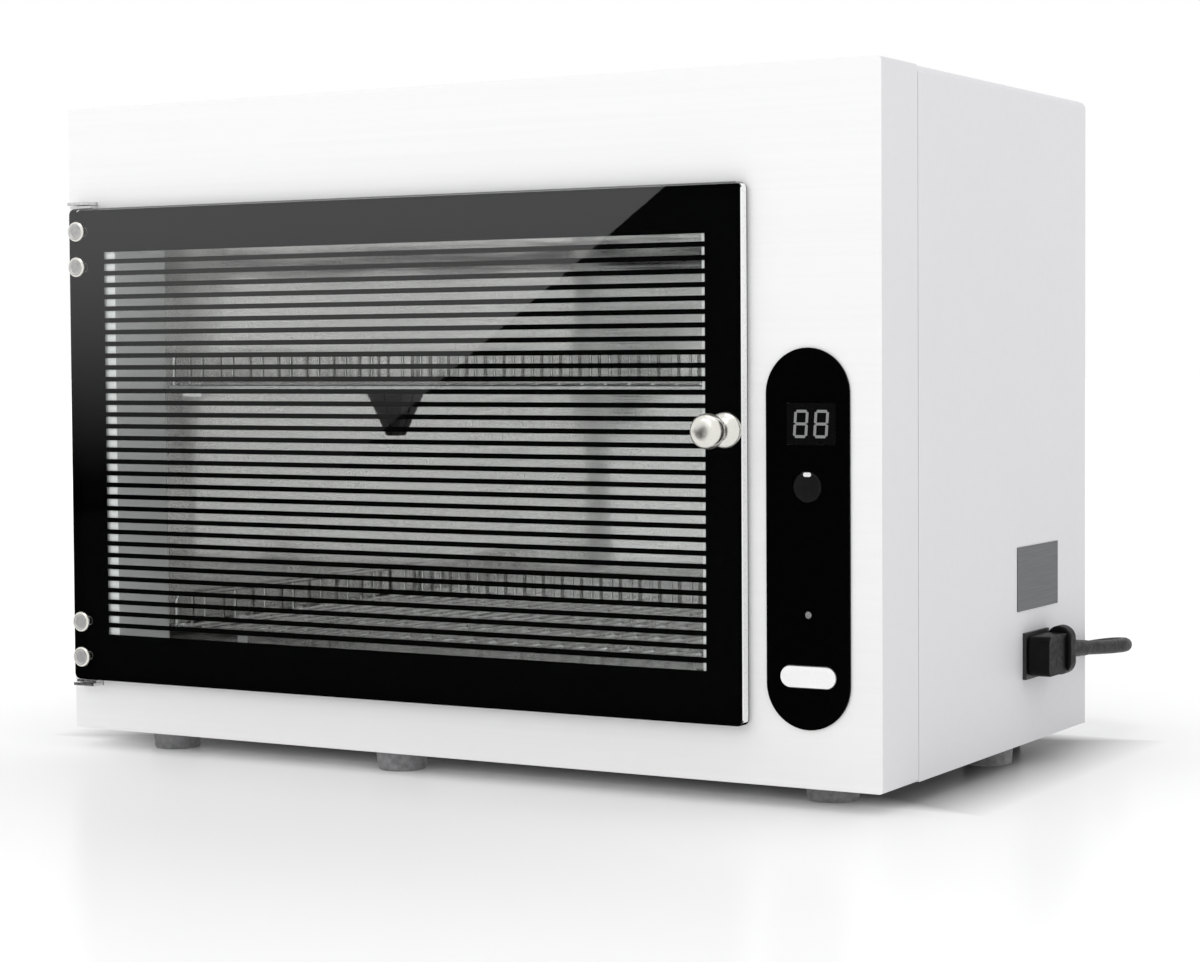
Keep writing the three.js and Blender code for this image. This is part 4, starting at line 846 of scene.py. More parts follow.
def lead_path(diameter):
    """The whole centre line of the lead, from its strain relief to its plug."""
    corner = base_corner()
    coil = coil_points(diameter)
    route = [boot_ends()[1]] + [corner + Vector(p) for p in LEAD_ROUTE]
    route += [coil[0] + Vector((diameter, 0, 0)), coil[0] + Vector((LEAD_GAP, 0, 0))]
    end, way = tail_frame(diameter)
    rise = PLUG_AXIS_Z - end.z
    tail = [end + way * LEAD_GAP, end + way * diameter,
            end + way * (TAIL_LENGTH / 2) + UP * (rise / 2),
            end + way * (TAIL_LENGTH - diameter) + UP * rise, end + way * TAIL_LENGTH + UP * rise]
    return smooth_route(route, LEAD_STEP) + coil + smooth_route(tail, LEAD_STEP)


class STERILIZER_OT_camera(bpy.types.Operator):
    """Stand the camera where it sees the door and the right side"""

    bl_idname = "sterilizer.camera"
    bl_label = "Camera"

    def execute(self, context):
        data = bpy.data.cameras.new("cabinet_camera")
        data.lens = CAMERA_LENS
        data.sensor_width = CAMERA_SENSOR
        data.sensor_fit = "HORIZONTAL"
        data.shift_x, data.shift_y = CAMERA_SHIFT
        data.clip_start, data.clip_end = CAMERA_CLIP
        camera = bpy.data.objects.new("cabinet_camera", data)
        context.scene.collection.objects.link(camera)
        turn = (Matrix.Rotation(CAMERA_TURN, 4, "Z")
                @ Matrix.Rotation(math.pi / 2 + CAMERA_PITCH, 4, "X")
                @ Matrix.Rotation(CAMERA_ROLL, 4, "Z"))
        camera.matrix_world = Matrix.Translation(CAMERA_PLACE) @ turn
        context.scene.camera = camera
        return {"FINISHED"}


class STERILIZER_OT_plug(bpy.types.Operator):
    """Model the mains plug on the end of the lead"""

    bl_idname = "sterilizer.plug"
    bl_label = "Mains plug"

    def execute(self, context):
        moulding, contacts = self.moulding(), self.contacts()
        end, way = tail_frame(context.scene.sterilizer_sizes.lead_diameter)
        origin = Vector((end.x, end.y, PLUG_AXIS_Z)) + way * (TAIL_LENGTH + LEAD_GAP)
        turn = Matrix.Rotation(math.atan2(way.y, way.x), 4, "Z")
        for piece in (moulding, contacts):
            piece.matrix_world = Matrix.Translation(origin) @ turn
        hand_over(moulding, "lead_black", "mains_plug")
        hand_over(contacts, "bright_steel", finish="contact_metal")
        return {"FINISHED"}

    def moulding(self):
        """A rounded body with a hollow grip on each side, and its ribbed boot."""
        boot = turned_piece("plug_boot", PLUG_BOOT_RINGS, SLIM_SIDES)
        place(boot, (0, 0, 0), RIGHT, UP)
        soften(boot)
        body = block("plug_moulding", PLUG_LOW, PLUG_HIGH, PLUG_CORNER)
        sink(body, lambda f: f.normal.x < -0.9, (PLUG_BACK, (0, 0, 0)))
        for side in (1, -1):
            sink(body, lambda f: f.normal.y * side > 0.99 and f.calc_area() > GRIP_AREA,
                 (GRIP_INSET, (0, -GRIP_DEPTH * side, 0)))
        soften(body, PLUG_ROUND, 3)
        return joined("plug_moulding", body, boot)

    def contacts(self):
        """Two blades and a round earth pin below them."""
        blades = []
        thick, tall = BLADE_HALF
        for side in (-1, 1):
            blade = block("plug_blade", (PIN_ROOT, side * BLADE_OUT - thick, BLADE_UP - tall),
                          (BLADE_TIP, side * BLADE_OUT + thick, BLADE_UP + tall), BLADE_CORNER, BACK, 3)
            soften(blade, MOULD_EDGE)
            blades.append(blade)
        earth = turned_piece("plug_earth", EARTH_RINGS, SLIM_SIDES)
        place(earth, (PIN_ROOT, 0, -EARTH_DOWN), RIGHT, UP)
        soften(earth)
        return joined("plug_blades", *blades, earth)


class STERILIZER_OT_connector(bpy.types.Operator):
    """Model the angled connector, its collar and the strain relief"""

    bl_idname = "sterilizer.connector"
    bl_label = "Mains connector"

    def execute(self, context):
        low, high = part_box("cord_connector")
        inlet_low, inlet_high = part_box("mains_inlet")
        middle = (inlet_low + inlet_high) / 2
        head_x = inlet_high.x + LEAD_GAP
        wide, tall = HEAD_HALF
        head = block("connector_head", (head_x, middle.y - wide, middle.z - tall),
                     (head_x + HEAD_DEPTH, middle.y + wide, middle.z + tall), HEAD_CORNER)
        sink(head, lambda f: f.normal.x > 0.9, (HEAD_INSET, (-HEAD_DISH, 0, 0)))
        soften(head, HEAD_ROUND, 3)
        wide, tall = NOSE_HALF
        nose = block("connector_nose", (low.x, middle.y - wide, middle.z - tall),
                     (head_x + NOSE_OVERLAP, middle.y + wide, middle.z + tall), NOSE_CORNER)
        soften(nose, MOULD_EDGE)
        collar = long_disc("connector_collar", COLLAR_RADIUS, COLLAR_STRAIGHT, COLLAR_DEPTH)
        sink(collar, lambda f: f.normal.z > 0.9, (COLLAR_INSET, (0, 0, -COLLAR_DISH)))
        place(collar, (SHELL_HIGH.x + LEAD_OUT, high.y - COLLAR_DEPTH, SHELL_LOW.z + COLLAR_Z), BACK, UP)
        soften(collar, COLLAR_ROUND, 3)
        joined("connector_moulding", head, nose, collar)
        hand_over(head, "lead_black", "cord_connector")
        start, end = boot_ends()
        boot = turned_piece("strain_relief", [
            (BOOT_ROOT, 0.0), (BOOT_ROOT * 0.985, BOOT_LENGTH * 0.08),
            *((radius, BOOT_LENGTH * share) for share, radius in BOOT_TAPER),
            (BOOT_TIP, BOOT_LENGTH * 0.97), (BOOT_TIP * 0.93, BOOT_LENGTH)], SLIM_SIDES)
        stand(boot, start, end - start, "lead_black", "cord_boot", up=UP)
        return {"FINISHED"}


class STERILIZER_OT_lead(bpy.types.Operator):
    bl_idname = "sterilizer.lead"
    bl_label = "Mains lead"

    def execute(self, context):
        sizes = context.scene.sterilizer_sizes
        path = lead_path(sizes.lead_diameter)
        lead = wire_piece("mains_lead", [path], sizes.lead_diameter, 5)
        hand_over(lead, "lead_black", "mains_cord", "cord_coil", "cord_tail")
        dress("coil_tie", "coil_strap", "tie_black")
        return {"FINISHED"}


class STERILIZER_OT_stage(bpy.types.Operator):
    """Set the pale floor, the even sky and the softboxes"""

    bl_idname = "sterilizer.stage"
    bl_label = "Studio"

    def execute(self, context):
        studio = context.scene.sterilizer_studio
        context.scene.view_settings.view_transform = "Standard"
        self.lay_floor(studio)
        self.light_sky(context, studio)
        self.hang_boxes(context, studio)
        self.stand_card(studio)
        return {"FINISHED"}

    def lay_floor(self, studio):
        """A wide pale floor with a soft sheen, with a shadow painted dark under the cabinet, and lit a little
        away from it.
        """
        clear_selection()
        middle, half = (SHELL_LOW + SHELL_HIGH) / 2, (SHELL_HIGH - SHELL_LOW) / 2
        bpy.ops.mesh.primitive_plane_add(size=FLOOR_SIZE, location=(middle.x, middle.y, 0))
        floor = bpy.context.object
        floor.name = "studio_floor"
        made = Finish("studio_floor", (studio.floor_tone,) * 3, 0.6, level=0.2, sockets={
            "Coat Weight": 0.5, "Coat Roughness": 0.24, "Emission Color": WHITE})
        tree = made.tree
        share = add(tree, "Mapping", {"Vector": made.place, "Scale": (0.5 / half.x, 0.5 / half.y, 1)})
        flat = add(tree, "VectorMath", {0: share}, operation="ABSOLUTE")
        split = add(tree, "SeparateXYZ", {0: flat}).outputs
        far = add(tree, "Math", {0: split["X"], 1: split["Y"]}, operation="MAXIMUM")
        # painted shadow: the floor's colour is darkened under the cabinet and just round it
        made.tone(far.outputs["Value"], *SHADE_TONES, *SHADE_SPREAD)
        away = add(tree, "VectorMath", {0: made.place}, operation="LENGTH").outputs["Value"]
        fade = add(tree, "MapRange", {
            "Value": away, "From Min": GLOW_SPREAD[0], "From Max": GLOW_SPREAD[1], "To Max": FLOOR_GLOW})
        fill(tree, made.shader, {"Emission Strength": fade})
        floor.data.materials.append(made.material)
        floor.visible_glossy = False

    def light_sky(self, context, studio):
        """Even light all round; the glass and the panel mirror a dark part of the room."""
        world = context.scene.world = bpy.data.worlds.new("studio_sky")
        world.use_nodes = True
        tree = world.node_tree
        rays = add(tree, "LightPath").outputs
        towards = add(tree, "VectorMath", {0: add(tree, "TexCoord").outputs["Generated"], 1: DARK_WAY},
                      operation="DOT_PRODUCT").outputs["Value"]
        dark = add(tree, "MapRange", {
            "Value": towards, "From Min": DARK_CONE[0], "From Max": DARK_CONE[1],
            "To Min": MIRRORED[0], "To Max": MIRRORED[1]}, interpolation_type="SMOOTHSTEP")
        outside = add(tree, "Math", {0: rays["Transparent Depth"], 1: GLASS_CROSSED}, operation="LESS_THAN")
        mirror = add(tree, "Math", {0: outside, 1: rays["Is Glossy Ray"]}, operation="MULTIPLY")
        level = add(tree, "MapRange", {
            "Value": outside, "To Min": studio.sky * CHAMBER_GAIN, "To Max": studio.sky})
        even = fill(tree, tree.nodes["Background"], {"Color": WHITE, "Strength": level})
        mirrored = add(tree, "Background", {"Color": WHITE, "Strength": dark})
        seen = add(tree, "Background", {"Color": WHITE})
        unseen = add(tree, "MixShader", {"Fac": mirror, 1: even, 2: mirrored})
        sky = add(tree, "MixShader", {"Fac": rays["Is Camera Ray"], 1: unseen, 2: seen})
        fill(tree, tree.nodes["World Output"], {"Surface": sky})

    def stand_card(self, studio):
        """A bright card at the left with a slanted edge, fading downwards, that the door glass mirrors."""
        clear_selection()
        bpy.ops.mesh.primitive_plane_add(size=1, location=CARD_PLACE, rotation=(math.pi / 2, 0, 0))
        card = bpy.context.object
        card.name = "studio_card"
        card.scale.x = CARD_WIDTH
        settle(card)
        with editing(card, "VERT"):
            shift(card, lambda v: v.co.x > CARD_PLACE.x and v.co.z < CARD_PLACE.z, (CARD_SLANT, 0, 0))
        material, tree = blank("studio_card")
        split = add(tree, "SeparateXYZ", {0: add(tree, "TexCoord").outputs["Object"]}).outputs
        span = add(tree, "MapRange", {
            "Value": split["Z"], "From Min": CARD_FADE[0], "From Max": CARD_FADE[1],
            "To Max": studio.left_card}, interpolation_type="SMOOTHSTEP")
        fill(tree, tree.nodes["Material Output"], {"Surface": add(tree, "Emission", {"Strength": span})})
        card.data.materials.append(material)
        for ray in ("camera", "diffuse", "transmission", "volume_scatter", "shadow"):
            setattr(card, f"visible_{ray}", False)

    def hang_boxes(self, context, studio):
        """Two wide softboxes, aimed at the cabinet's middle."""
        for name, power, size, spot in (
                ("front_softbox", studio.front_box, FRONT_BOX_SIZE, FRONT_BOX_PLACE),
                ("top_softbox", studio.top_box, TOP_BOX_SIZE, TOP_BOX_PLACE)):
            data = bpy.data.lights.new(name, "AREA")
            data.energy, data.size = power, size
            lamp = bpy.data.objects.new(name, data)
            context.scene.collection.objects.link(lamp)
            lamp.location = spot
            lamp.rotation_mode = "QUATERNION"
            lamp.rotation_quaternion = (AIM - Vector(spot)).to_track_quat("-Z", "Y")
            lamp.visible_camera = False


class STERILIZER_OT_sheets(bpy.types.Operator):
    """Dress the front frame, the shell, the base, the rear panel and the liner"""

    bl_idname = "sterilizer.sheets"
    bl_label = "Cabinet sheets"

    def execute(self, context):
        front = dress("front_frame", "front_frame_sheet", "white_paint")
        inner = SHELL_HIGH - Vector((FLANGE, 0, FLANGE))  # the side and top flanges lie beyond it
        # the frame's side and top flanges get the darker paint, the same painted shade as the shell
        paint_faces(front, "side_paint", lambda f: (
            abs(f.normal.x) > 0.7 and abs(f.calc_center_median().x) > inner.x
            or f.normal.z > 0.7 and f.calc_center_median().z > inner.z))
        # the shell, the base and the rear panel in the darker paint, which is painted shade
        for node in ("outer_shell", "base_panel", "rear_panel"):
            dress(node, f"{node}_sheet", "side_paint")
        dress("chamber_liner", "chamber_liner_sheet", "chamber_steel")
        return {"FINISHED"}


class STERILIZER_OT_door(bpy.types.Operator):
    """Dress the door glass, its print and what is fixed to it"""

    bl_idname = "sterilizer.door"
    bl_label = "Door"

    def execute(self, context):
        sizes = context.scene.sterilizer_sizes
        self.pane(sizes.glass_edge)
        self.spread_print()
        dress("strike_plate", "strike_washer", "bright_steel", sizes.fine_edge, body="door")
        dress("sensor_magnet", "sensor_strip", "black_plastic", sizes.fine_edge, body="door")
        return {"FINISHED"}

    def at_rim(self, points):
        """Whether all the points lie near the outline of the glass, away from its drilled holes."""
        return all(min(v.co.x - GLASS_LOW.x, GLASS_HIGH.x - v.co.x, v.co.z - GLASS_LOW.z,
                       GLASS_HIGH.z - v.co.z) < RIM_REACH for v in points)

    def pane(self, edge):
        """The glass, with a chamfer round its outline only, and finishes for its back and its rim; the rim is
        painted pale at the right, dark on top and in the print's black at the left and the foot, as painted
        light and shade.
        """
        pane = dressed_copy("door_glass", "door_pane")
        with editing(pane, "EDGE"):
            pick(pane, "EDGE", lambda e: e.calc_face_angle(0) > 1 and self.at_rim(e.verts))
            bpy.ops.mesh.bevel(offset=edge, segments=1, affect="EDGES", loop_slide=False)
        take(pane)
        bpy.ops.object.shade_flat()
        hand_over(pane, "door_glass", "door_glass", body="door")
        paint_faces(pane, "glass_inner", lambda f: f.normal.y > -0.5)
        # painted light and shade on the rim: pale at the right, dark on top, the print's black at the left
        # and the foot
        paint_faces(pane, "painted_lit_edge", lambda f: f.normal.x > 0.7 and self.at_rim(f.verts))
        paint_faces(pane, "painted_shaded_edge", lambda f: f.normal.z > 0.7 and self.at_rim(f.verts))
        paint_faces(pane, "door_black", lambda f: (
            min(f.normal.x, f.normal.z) < -0.5 and self.at_rim(f.verts)))

    def spread_print(self):
        """The print, carried out to the sides and the foot of the glass."""
        low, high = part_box("door_print")
        mask = dressed_copy("door_print", "door_mask")
        with editing(mask, "VERT"):
            for edge, reach in ((low.x, GLASS_LOW.x - low.x + PRINT_SPARE),
                                (high.x, GLASS_HIGH.x - high.x - PRINT_SPARE)):
                shift(mask, lambda v: abs(v.co.x - edge) < RIM_REACH, (reach, 0, 0))
            shift(mask, lambda v: abs(v.co.z - low.z) < RIM_REACH, (0, 0, GLASS_LOW.z - low.z + PRINT_SPARE))
        hand_over(mask, "door_black", "door_print", body="door")


class STERILIZER_OT_hinges(bpy.types.Operator):
    """Dress the hinge clamps, brackets and pins, and turn the caps"""

    bl_idname = "sterilizer.hinges"
    bl_label = "Hinges"

    def execute(self, context):
        edge = context.scene.sterilizer_sizes.fine_edge
        for end in ("top", "bottom"):
            for kind, body in (("clamp", "door"), ("bracket", "root"), ("pin", "root")):
                node = f"hinge_{kind}_{end}"
                dress(node, f"{node}_plated", "bright_steel", edge, body=body)
        for number in range(1, 5):
            self.cap(number)
        return {"FINISHED"}

    def cap(self, number):
        """A low cap with a bright crown round a satin face."""
        low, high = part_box(f"hinge_cap_{number}")
        middle = (low + high) / 2
        radius = (high.x - low.x) / 2
        crown = GLASS_LOW.y - low.y
        cap = turned_piece(f"hinge_screw_{number}", [
            (STEM - GAP, crown - (high.y - low.y)), (STEM, -SEAT_STEP), (STEM, SEAT_GAP),
            (radius * SEAT_SHARE, SEAT_GAP), (radius, SEAT_STEP),
            *((radius * r, crown * h) for r, h in CAP_CROWN), (POINT, crown * CAP_MIDDLE)])
        stand(cap, (middle.x, GLASS_LOW.y, middle.z), FRONT, "polished_knob", f"hinge_cap_{number}",
              body="door")
        paint_faces(cap, "cap_face", lambda f: f.normal.y < -0.5 and (
            f.calc_center_median().xz - middle.xz).length < radius * CAP_FACE)
        cap.visible_glossy = False


class STERILIZER_OT_knob(bpy.types.Operator):
    """Turn the spool-shaped knob"""

    bl_idname = "sterilizer.knob"
    bl_label = "Door knob"

    def execute(self, context):
        low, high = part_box("door_knob")
        middle = (low + high) / 2
        radius = (high.x - low.x) / 2
        reach = GLASS_LOW.y - low.y
        rings = [(STEM, GLASS_LOW.y - high.y), (STEM, 0.0)] + [(r * radius, h * reach) for r, h in KNOB_RINGS]
        knob = turned_piece("knob_spool", rings, KNOB_SIDES)
        stand(knob, (middle.x, GLASS_LOW.y, middle.z), FRONT, "polished_knob", "door_knob", body="door")
        knob.visible_glossy = False
        return {"FINISHED"}


class STERILIZER_OT_controls(bpy.types.Operator):
    """Dress the panel, and model its keys, display, figures and indicator"""

    bl_idname = "sterilizer.controls"
    bl_label = "Control panel"

    def execute(self, context):
        dress("control_panel", "panel_plate", "black_acrylic")
        dress("display_lens", "display_window", "black_acrylic", LENS_EDGE, finish="display_glow")
        self.figures(context.scene.sterilizer_sizes)
        self.timer_key()
        self.power_key()
        self.indicator()
        return {"FINISHED"}

    def figures(self, sizes):
        """Two figures of seven lit bars, lying on the window."""
        low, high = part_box("display_lens")
        middle = (low + high) / 2
        rise = (sizes.figure_height - BAR_WIDTH) / 2
        reach = (sizes.figure_height * FIGURE_SHAPE - BAR_WIDTH) / 2
        upright = [(sx * reach, sz * rise / 2, True) for sx in (-1, 1) for sz in (-1, 1)]
        level = [(0, z, False) for z in (-rise, 0, rise)]
        bars = []
        for side in (-1, 1):
            for x, z, is_upright in upright + level:
                straight = (rise if is_upright else 2 * reach) - BAR_WIDTH * BAR_SPARE
                bar = long_disc("figure_bar", BAR_WIDTH / 2, straight, BAR_THICK, 6)
                across = middle.x + side * sizes.figure_pitch / 2 + x + z * math.sin(BAR_LEAN)
                up = Matrix.Rotation(BAR_LEAN, 3, "Y") @ UP if is_upright else RIGHT
                place(bar, (across, low.y, middle.z + z), FRONT, up)
                bars.append(bar)
        hand_over(joined("display_figures", *bars), "white_button", finish="lit_figures")

    def timer_key(self):
        """A round key with a dished top and a short white bar at its upper edge."""
        low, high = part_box("timer_button")
        middle = (low + high) / 2
        back = PANEL_FACE - high.y
        proud = PANEL_FACE - low.y
        key = turned_piece("timer_key_cap", [
            (STEM, back), (STEM, back + FLANGE_LOW), (TIMER_FLANGE, back + FLANGE_LOW),
            (TIMER_FLANGE, back + FLANGE_HIGH), (TIMER_RADIUS, back + FLANGE_HIGH),
            *((TIMER_RADIUS * r, proud * h) for r, h in TIMER_FACE), (POINT, proud * TIMER_MIDDLE)])
        stand(key, (middle.x, PANEL_FACE, middle.z), FRONT, "dark_button", "timer_button", body="timer_key")
        mark = long_disc("timer_key_mark", MARK_RADIUS, MARK_STRAIGHT, MARK_THICK)
        stand(mark, (middle.x, low.y + MARK_SINK, middle.z + TIMER_RADIUS * MARK_UP), FRONT, "white_button",
              up=RIGHT, body="timer_key", finish="white_mark")

    def power_key(self):
        """A white pill with a thin groove round its face."""
        low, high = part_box("power_button")
        middle = (low + high) / 2
        key = long_disc("power_key_cap", POWER_RADIUS, POWER_STRAIGHT, POWER_BACK + PANEL_FACE - low.y)
        sink(key, lambda f: f.normal.z > 0.9, (POWER_MARGIN, (0, 0, 0)),
             (POWER_GROOVE, (0, 0, -GROOVE_DEPTH)), (POWER_GROOVE, (0, 0, GROOVE_DEPTH)))
        soften(key, POWER_ROUND)
        flange = long_disc("power_key_flange", POWER_RADIUS + POWER_FLANGE_OUT, POWER_STRAIGHT,
                           POWER_FLANGE_THICK)
        soften(flange, POWER_STEM_EDGE)
        stem = long_disc("power_key_stem", POWER_RADIUS * 0.5, POWER_STRAIGHT * 0.2,
                         high.y - PANEL_FACE - POWER_STEM_GAP)
        soften(stem, POWER_STEM_EDGE)
        for part, y in ((key, PANEL_FACE + POWER_BACK), (flange, high.y - POWER_FLANGE_UP), (stem, high.y)):
            place(part, (middle.x, y, middle.z), FRONT, RIGHT)
        joined("power_key_cap", key, flange, stem)
        hand_over(key, "white_button", "power_button", body="power_key")

    def indicator(self):
        """A light pipe with a fluted head."""
        low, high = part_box("indicator_lens")
        middle = (low + high) / 2
        radius = (high.x - low.x) / 2
        depth = high.y - low.y
        pipe = turned_piece("indicator_pipe", [(radius * r, depth * h) for r, h in PIPE_RINGS], PIPE_SIDES)
        side = 2 * math.pi / PIPE_SIDES
        with editing(pipe, "VERT"):
            pick(pipe, "VERT", lambda v: v.co.z > depth * 0.98 and math.hypot(v.co.x, v.co.y) > radius * 0.8
                 and round(math.atan2(v.co.y, v.co.x) / side) % 2)
            bpy.ops.transform.resize(value=(PIPE_FLUTE, PIPE_FLUTE, 1), center_override=(0, 0, depth))
        stand(pipe, (middle.x, high.y, middle.z), FRONT, "indicator_grey", "indicator_lens")


class STERILIZER_OT_baskets(bpy.types.Operator):
    """Bend and weld the round wires of both baskets"""

    bl_idname = "sterilizer.baskets"
    bl_label = "Baskets"

    def execute(self, context):
        sizes = context.scene.sterilizer_sizes
        for node in ("upper_basket", "lower_basket"):
            thin, thick = self.runs(node, sizes)
            wires = wire_piece(f"{node}_wires", thin, sizes.wire_width)
            rail = wire_piece(f"{node}_rail", thick, sizes.rail_width, 3)
            hand_over(joined(f"{node}_wires", wires, rail), "bright_steel", node)
        for side in ("left", "right"):
            dress(f"shelf_bracket_{side}", f"shelf_bracket_{side}_block", "black_plastic", BRACKET_EDGE, 3)
        return {"FINISHED"}

    def runs(self, node, sizes):
        """The centre lines of the wires (across, front to back, the rim and its posts), then of the rail."""
        low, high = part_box(node)
        width, rail, bend = sizes.wire_width, sizes.rail_width, sizes.wire_bend
        half = Vector((width, width, width)) / 2
        (x0, front, z0), (x1, y1, z1) = low + half, high - half
        thin = []
        count = int((high.y - low.y - PITCH_DEEP / 2) / PITCH_DEEP)
        for i in range(1, count + 1):
            y = low.y + i * PITCH_DEEP
            thin.append(rounded_path([(x0, y, z1), (x0, y, z0), (x1, y, z0), (x1, y, z1)], bend))
        over = z0 + width + GAP
        start = low.y + rail * 0.75
        across = int((high.x - low.x - 4 * width) / PITCH_ACROSS)
        for i in range(across + 1):
            x = (low.x + high.x) / 2 + (i - across / 2) * PITCH_ACROSS
            thin.append(rounded_path([(x, start, over), (x, y1, over), (x, y1, z1)], bend))
        rim_z, post_z = z1 - RIM_DOWN, low.z + rail - WELD
        rx0, rx1, ry = x0 + width - WELD, x1 - width + WELD, y1 - width + WELD
        thin.append(rounded_path([(rx0, front, post_z), (rx0, front, rim_z), (rx0, ry, rim_z),
                                  (rx1, ry, rim_z), (rx1, front, rim_z), (rx1, front, post_z)], bend))
        return thin, [[(x, low.y + rail / 2, low.z + rail / 2) for x in (low.x, high.x)]]


class STERILIZER_OT_lamp(bpy.types.Operator):
    """Model the ultraviolet lamp and dress its holders"""

    bl_idname = "sterilizer.lamp"
    bl_label = "Lamp"

    def execute(self, context):
        low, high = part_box("lamp_tube")
        middle = (low + high) / 2
        ends = [(radius, LAMP_CAP * share) for radius, share in TUBE_END]
        tube = turned_piece("lamp_glass_tube", ends + [(r, high.y - low.y - h) for r, h in reversed(ends)])
        stand(tube, (middle.x, low.y, middle.z), BACK, "lamp_glass", "lamp_tube")
        for end, y, way in (("front", low.y, BACK), ("rear", high.y, FRONT)):
            metal = turned_piece(f"lamp_cap_{end}", LAMP_CAP_RINGS)
            stand(metal, (middle.x, y, middle.z), way, "bright_steel")
            self.filament(end, middle, y, way.y)
            dress(f"lamp_holder_{end}", f"lamp_holder_{end}_block", "white_plastic", HOLDER_EDGE, 3)
        return {"FINISHED"}

    def filament(self, end, middle, y, way):
        """A coiled wire between two posts."""
        coiled = []
        for i in range(FILAMENT_STEPS + 1):
            a = math.pi * (i / FILAMENT_STEPS - 0.5)
            coiled.append(Vector((middle.x + FILAMENT_HALF * math.sin(a),
                                  y + way * (FILAMENT_AXIS + FILAMENT_COIL * math.cos(a * 6)),
                                  middle.z + FILAMENT_COIL * math.sin(a * 6))))
        posts = [[Vector((tip.x, y + way * FILAMENT_POST, middle.z)), tip] for tip in (coiled[0], coiled[-1])]
        hand_over(wire_piece(f"lamp_filament_{end}", [coiled, *posts], FILAMENT_WIRE, 1), "bright_steel")


def cross_screw():
    """A pan-head screw on its own Z axis, its seat at zero, with a cross recess."""
    screw = turned_piece("cross_screw", [
        (SCREW_SHANK * 0.6, -SCREW_LONG), (SCREW_SHANK, -SCREW_LONG * 0.9), (SCREW_SHANK, 0),
        *((SCREW_HEAD * r, SCREW_HIGH * h) for r, h in SCREW_RINGS), (POINT / 2, SCREW_HIGH)], SLIM_SIDES)
    slot, reach = SCREW_HEAD * SLOT_WIDE, SCREW_HEAD * SLOT_REACH
    for wide, tall in ((reach, slot), (slot, reach)):
        tool = block("cross_slot", (-wide, -tall, SCREW_HIGH * SLOT_FLOOR),
                     (wide, tall, SCREW_HIGH * SLOT_TOP))
        apply_modifier(screw, "BOOLEAN", object=tool, operation="DIFFERENCE", solver="EXACT")
        bpy.data.objects.remove(tool)
    soften(screw)
    return screw


def drive(master, name, spot, way, *replaced, scale=(1, 1, 1)):
    """A copy of the screw with its seat at the spot."""
    screw = copy_of(master, name)
    screw.scale = scale
    settle(screw)
    place(screw, spot, way)
    hand_over(screw, "bright_steel", *replaced)


class STERILIZER_OT_feet(bpy.types.Operator):
    """Turn the feet, and drive the screws of the feet, the base and the rear panel"""

    bl_idname = "sterilizer.feet"
    bl_label = "Feet and screws"

    def execute(self, context):
        master = cross_screw()
        for foot in ("front_left", "front_middle", "front_right", "side_right", "rear_left", "rear_right"):
            low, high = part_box(f"foot_{foot}")
            middle = (low + high) / 2
            radius = (high.x - low.x) / 2
            rubber = turned_piece(f"foot_{foot}_rubber", [
                *FOOT_RINGS, (radius, -4 * GAP), (radius * 0.99, -GAP), (FOOT_BORE, -GAP)], hollow=True)
            stand(rubber, (middle.x, middle.y, high.z + GAP), UP, "foot_grey", f"foot_{foot}")
            drive(master, f"foot_screw_{foot}", (middle.x, middle.y, low.z + FOOT_RECESS), DOWN)
        for number in range(1, 5):
            low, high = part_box(f"base_screw_{number}")
            middle = (low + high) / 2
            drive(master, f"base_screw_{number}_head", (middle.x, middle.y, SHELL_LOW.z - GAP), DOWN,
                  f"base_screw_{number}", scale=BASE_SCREW_SCALE)
        heights = (SHELL_LOW.z + REAR_END, (SHELL_LOW.z + SHELL_HIGH.z) / 2, SHELL_HIGH.z - REAR_END)
        spots = [(x, z) for x in (SHELL_LOW.x + REAR_INSET, SHELL_HIGH.x - REAR_INSET) for z in heights]
        for number, (x, z) in enumerate(spots, 1):
            drive(master, f"rear_screw_{number}", (x, SHELL_HIGH.y + GAP, z), BACK, scale=REAR_SCREW_SCALE)
        bpy.data.objects.remove(master)
        return {"FINISHED"}


class STERILIZER_OT_side(bpy.types.Operator):
    """Dress the rating plate and the mains inlet"""

    bl_idname = "sterilizer.side"
    bl_label = "Mains side"

    def execute(self, context):
        plate = dressed_copy("rating_plate", "rating_film")
        sink(plate, lambda f: f.normal.x > 0.9, (LABEL_MARGIN, (-LABEL_SINK, 0, 0)))
        soften(plate, LABEL_EDGE, 1)
        hand_over(plate, "rating_silver", "rating_plate")
        dress("mains_inlet", "inlet_socket", "black_plastic")
        return {"FINISHED"}


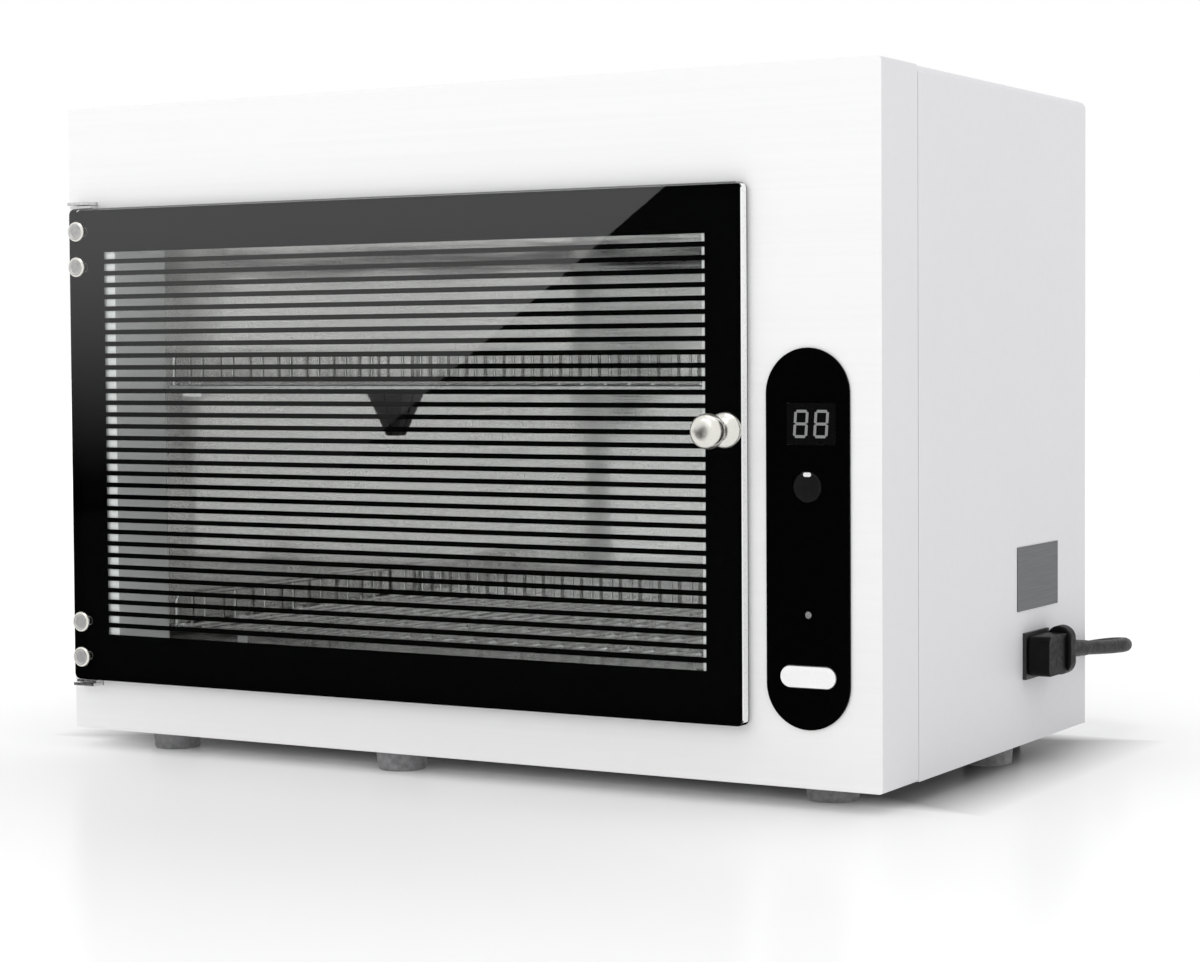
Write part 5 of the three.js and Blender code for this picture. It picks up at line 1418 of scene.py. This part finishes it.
class STERILIZER_OT_inside(bpy.types.Operator):
    """Dress the control board, its switches, the ballast, the catch and the sensor"""

    bl_idname = "sterilizer.inside"
    bl_label = "Inner pieces"

    def execute(self, context):
        edge = context.scene.sterilizer_sizes.fine_edge
        for node, slot, width in (
                ("control_board", "board_green", 0), ("board_carrier", "black_plastic", 0),
                ("timer_switch", "black_plastic", edge), ("power_switch", "black_plastic", edge),
                ("display_module", "dark_button", edge * 2), ("lamp_ballast", "ballast_grey", edge * 5),
                ("catch_magnet", "black_plastic", 0), ("door_sensor", "white_plastic", edge * 3)):
            dress(node, f"{node}_dressed", slot, width)
        return {"FINISHED"}


STEPS = (
    STERILIZER_OT_camera, STERILIZER_OT_plug, STERILIZER_OT_connector, STERILIZER_OT_lead,
    STERILIZER_OT_stage, STERILIZER_OT_sheets, STERILIZER_OT_door, STERILIZER_OT_hinges,
    STERILIZER_OT_knob, STERILIZER_OT_controls, STERILIZER_OT_baskets, STERILIZER_OT_lamp,
    STERILIZER_OT_feet, STERILIZER_OT_side, STERILIZER_OT_inside,
)

GROUPS = {
    "sterilizer_sizes": SterilizerSizes,
    "sterilizer_colours": SterilizerColours,
    "sterilizer_studio": SterilizerStudio,
}


class STERILIZER_PT_steps(bpy.types.Panel):
    """The steps that finish the cabinet, and the values that they read"""

    bl_idname = "STERILIZER_PT_steps"
    bl_label = "Sterilizer"
    bl_space_type = "VIEW_3D"
    bl_region_type = "UI"
    bl_category = "Sterilizer"

    def draw(self, context):
        for group in GROUPS:
            values = getattr(context.scene, group)
            column = self.layout.column(align=True)
            for key in values.__annotations__:
                column.prop(values, key)
        for step in STEPS:
            self.layout.operator(step.bl_idname)


def register():
    """Register the value groups, the steps and the sidebar panel."""
    for name, group in GROUPS.items():
        bpy.utils.register_class(group)
        setattr(bpy.types.Scene, name, bpy.props.PointerProperty(type=group))
    for step in STEPS:
        bpy.utils.register_class(step)
    bpy.utils.register_class(STERILIZER_PT_steps)


def unregister():
    """Undo what register did."""
    bpy.utils.unregister_class(STERILIZER_PT_steps)
    for step in reversed(STEPS):
        bpy.utils.unregister_class(step)
    for name, group in GROUPS.items():
        delattr(bpy.types.Scene, name)
        bpy.utils.unregister_class(group)


def main():
    register()
    for step in STEPS:
        group, name = step.bl_idname.split(".")
        getattr(getattr(bpy.ops, group), name)()


if __name__ == "__main__":
    main()
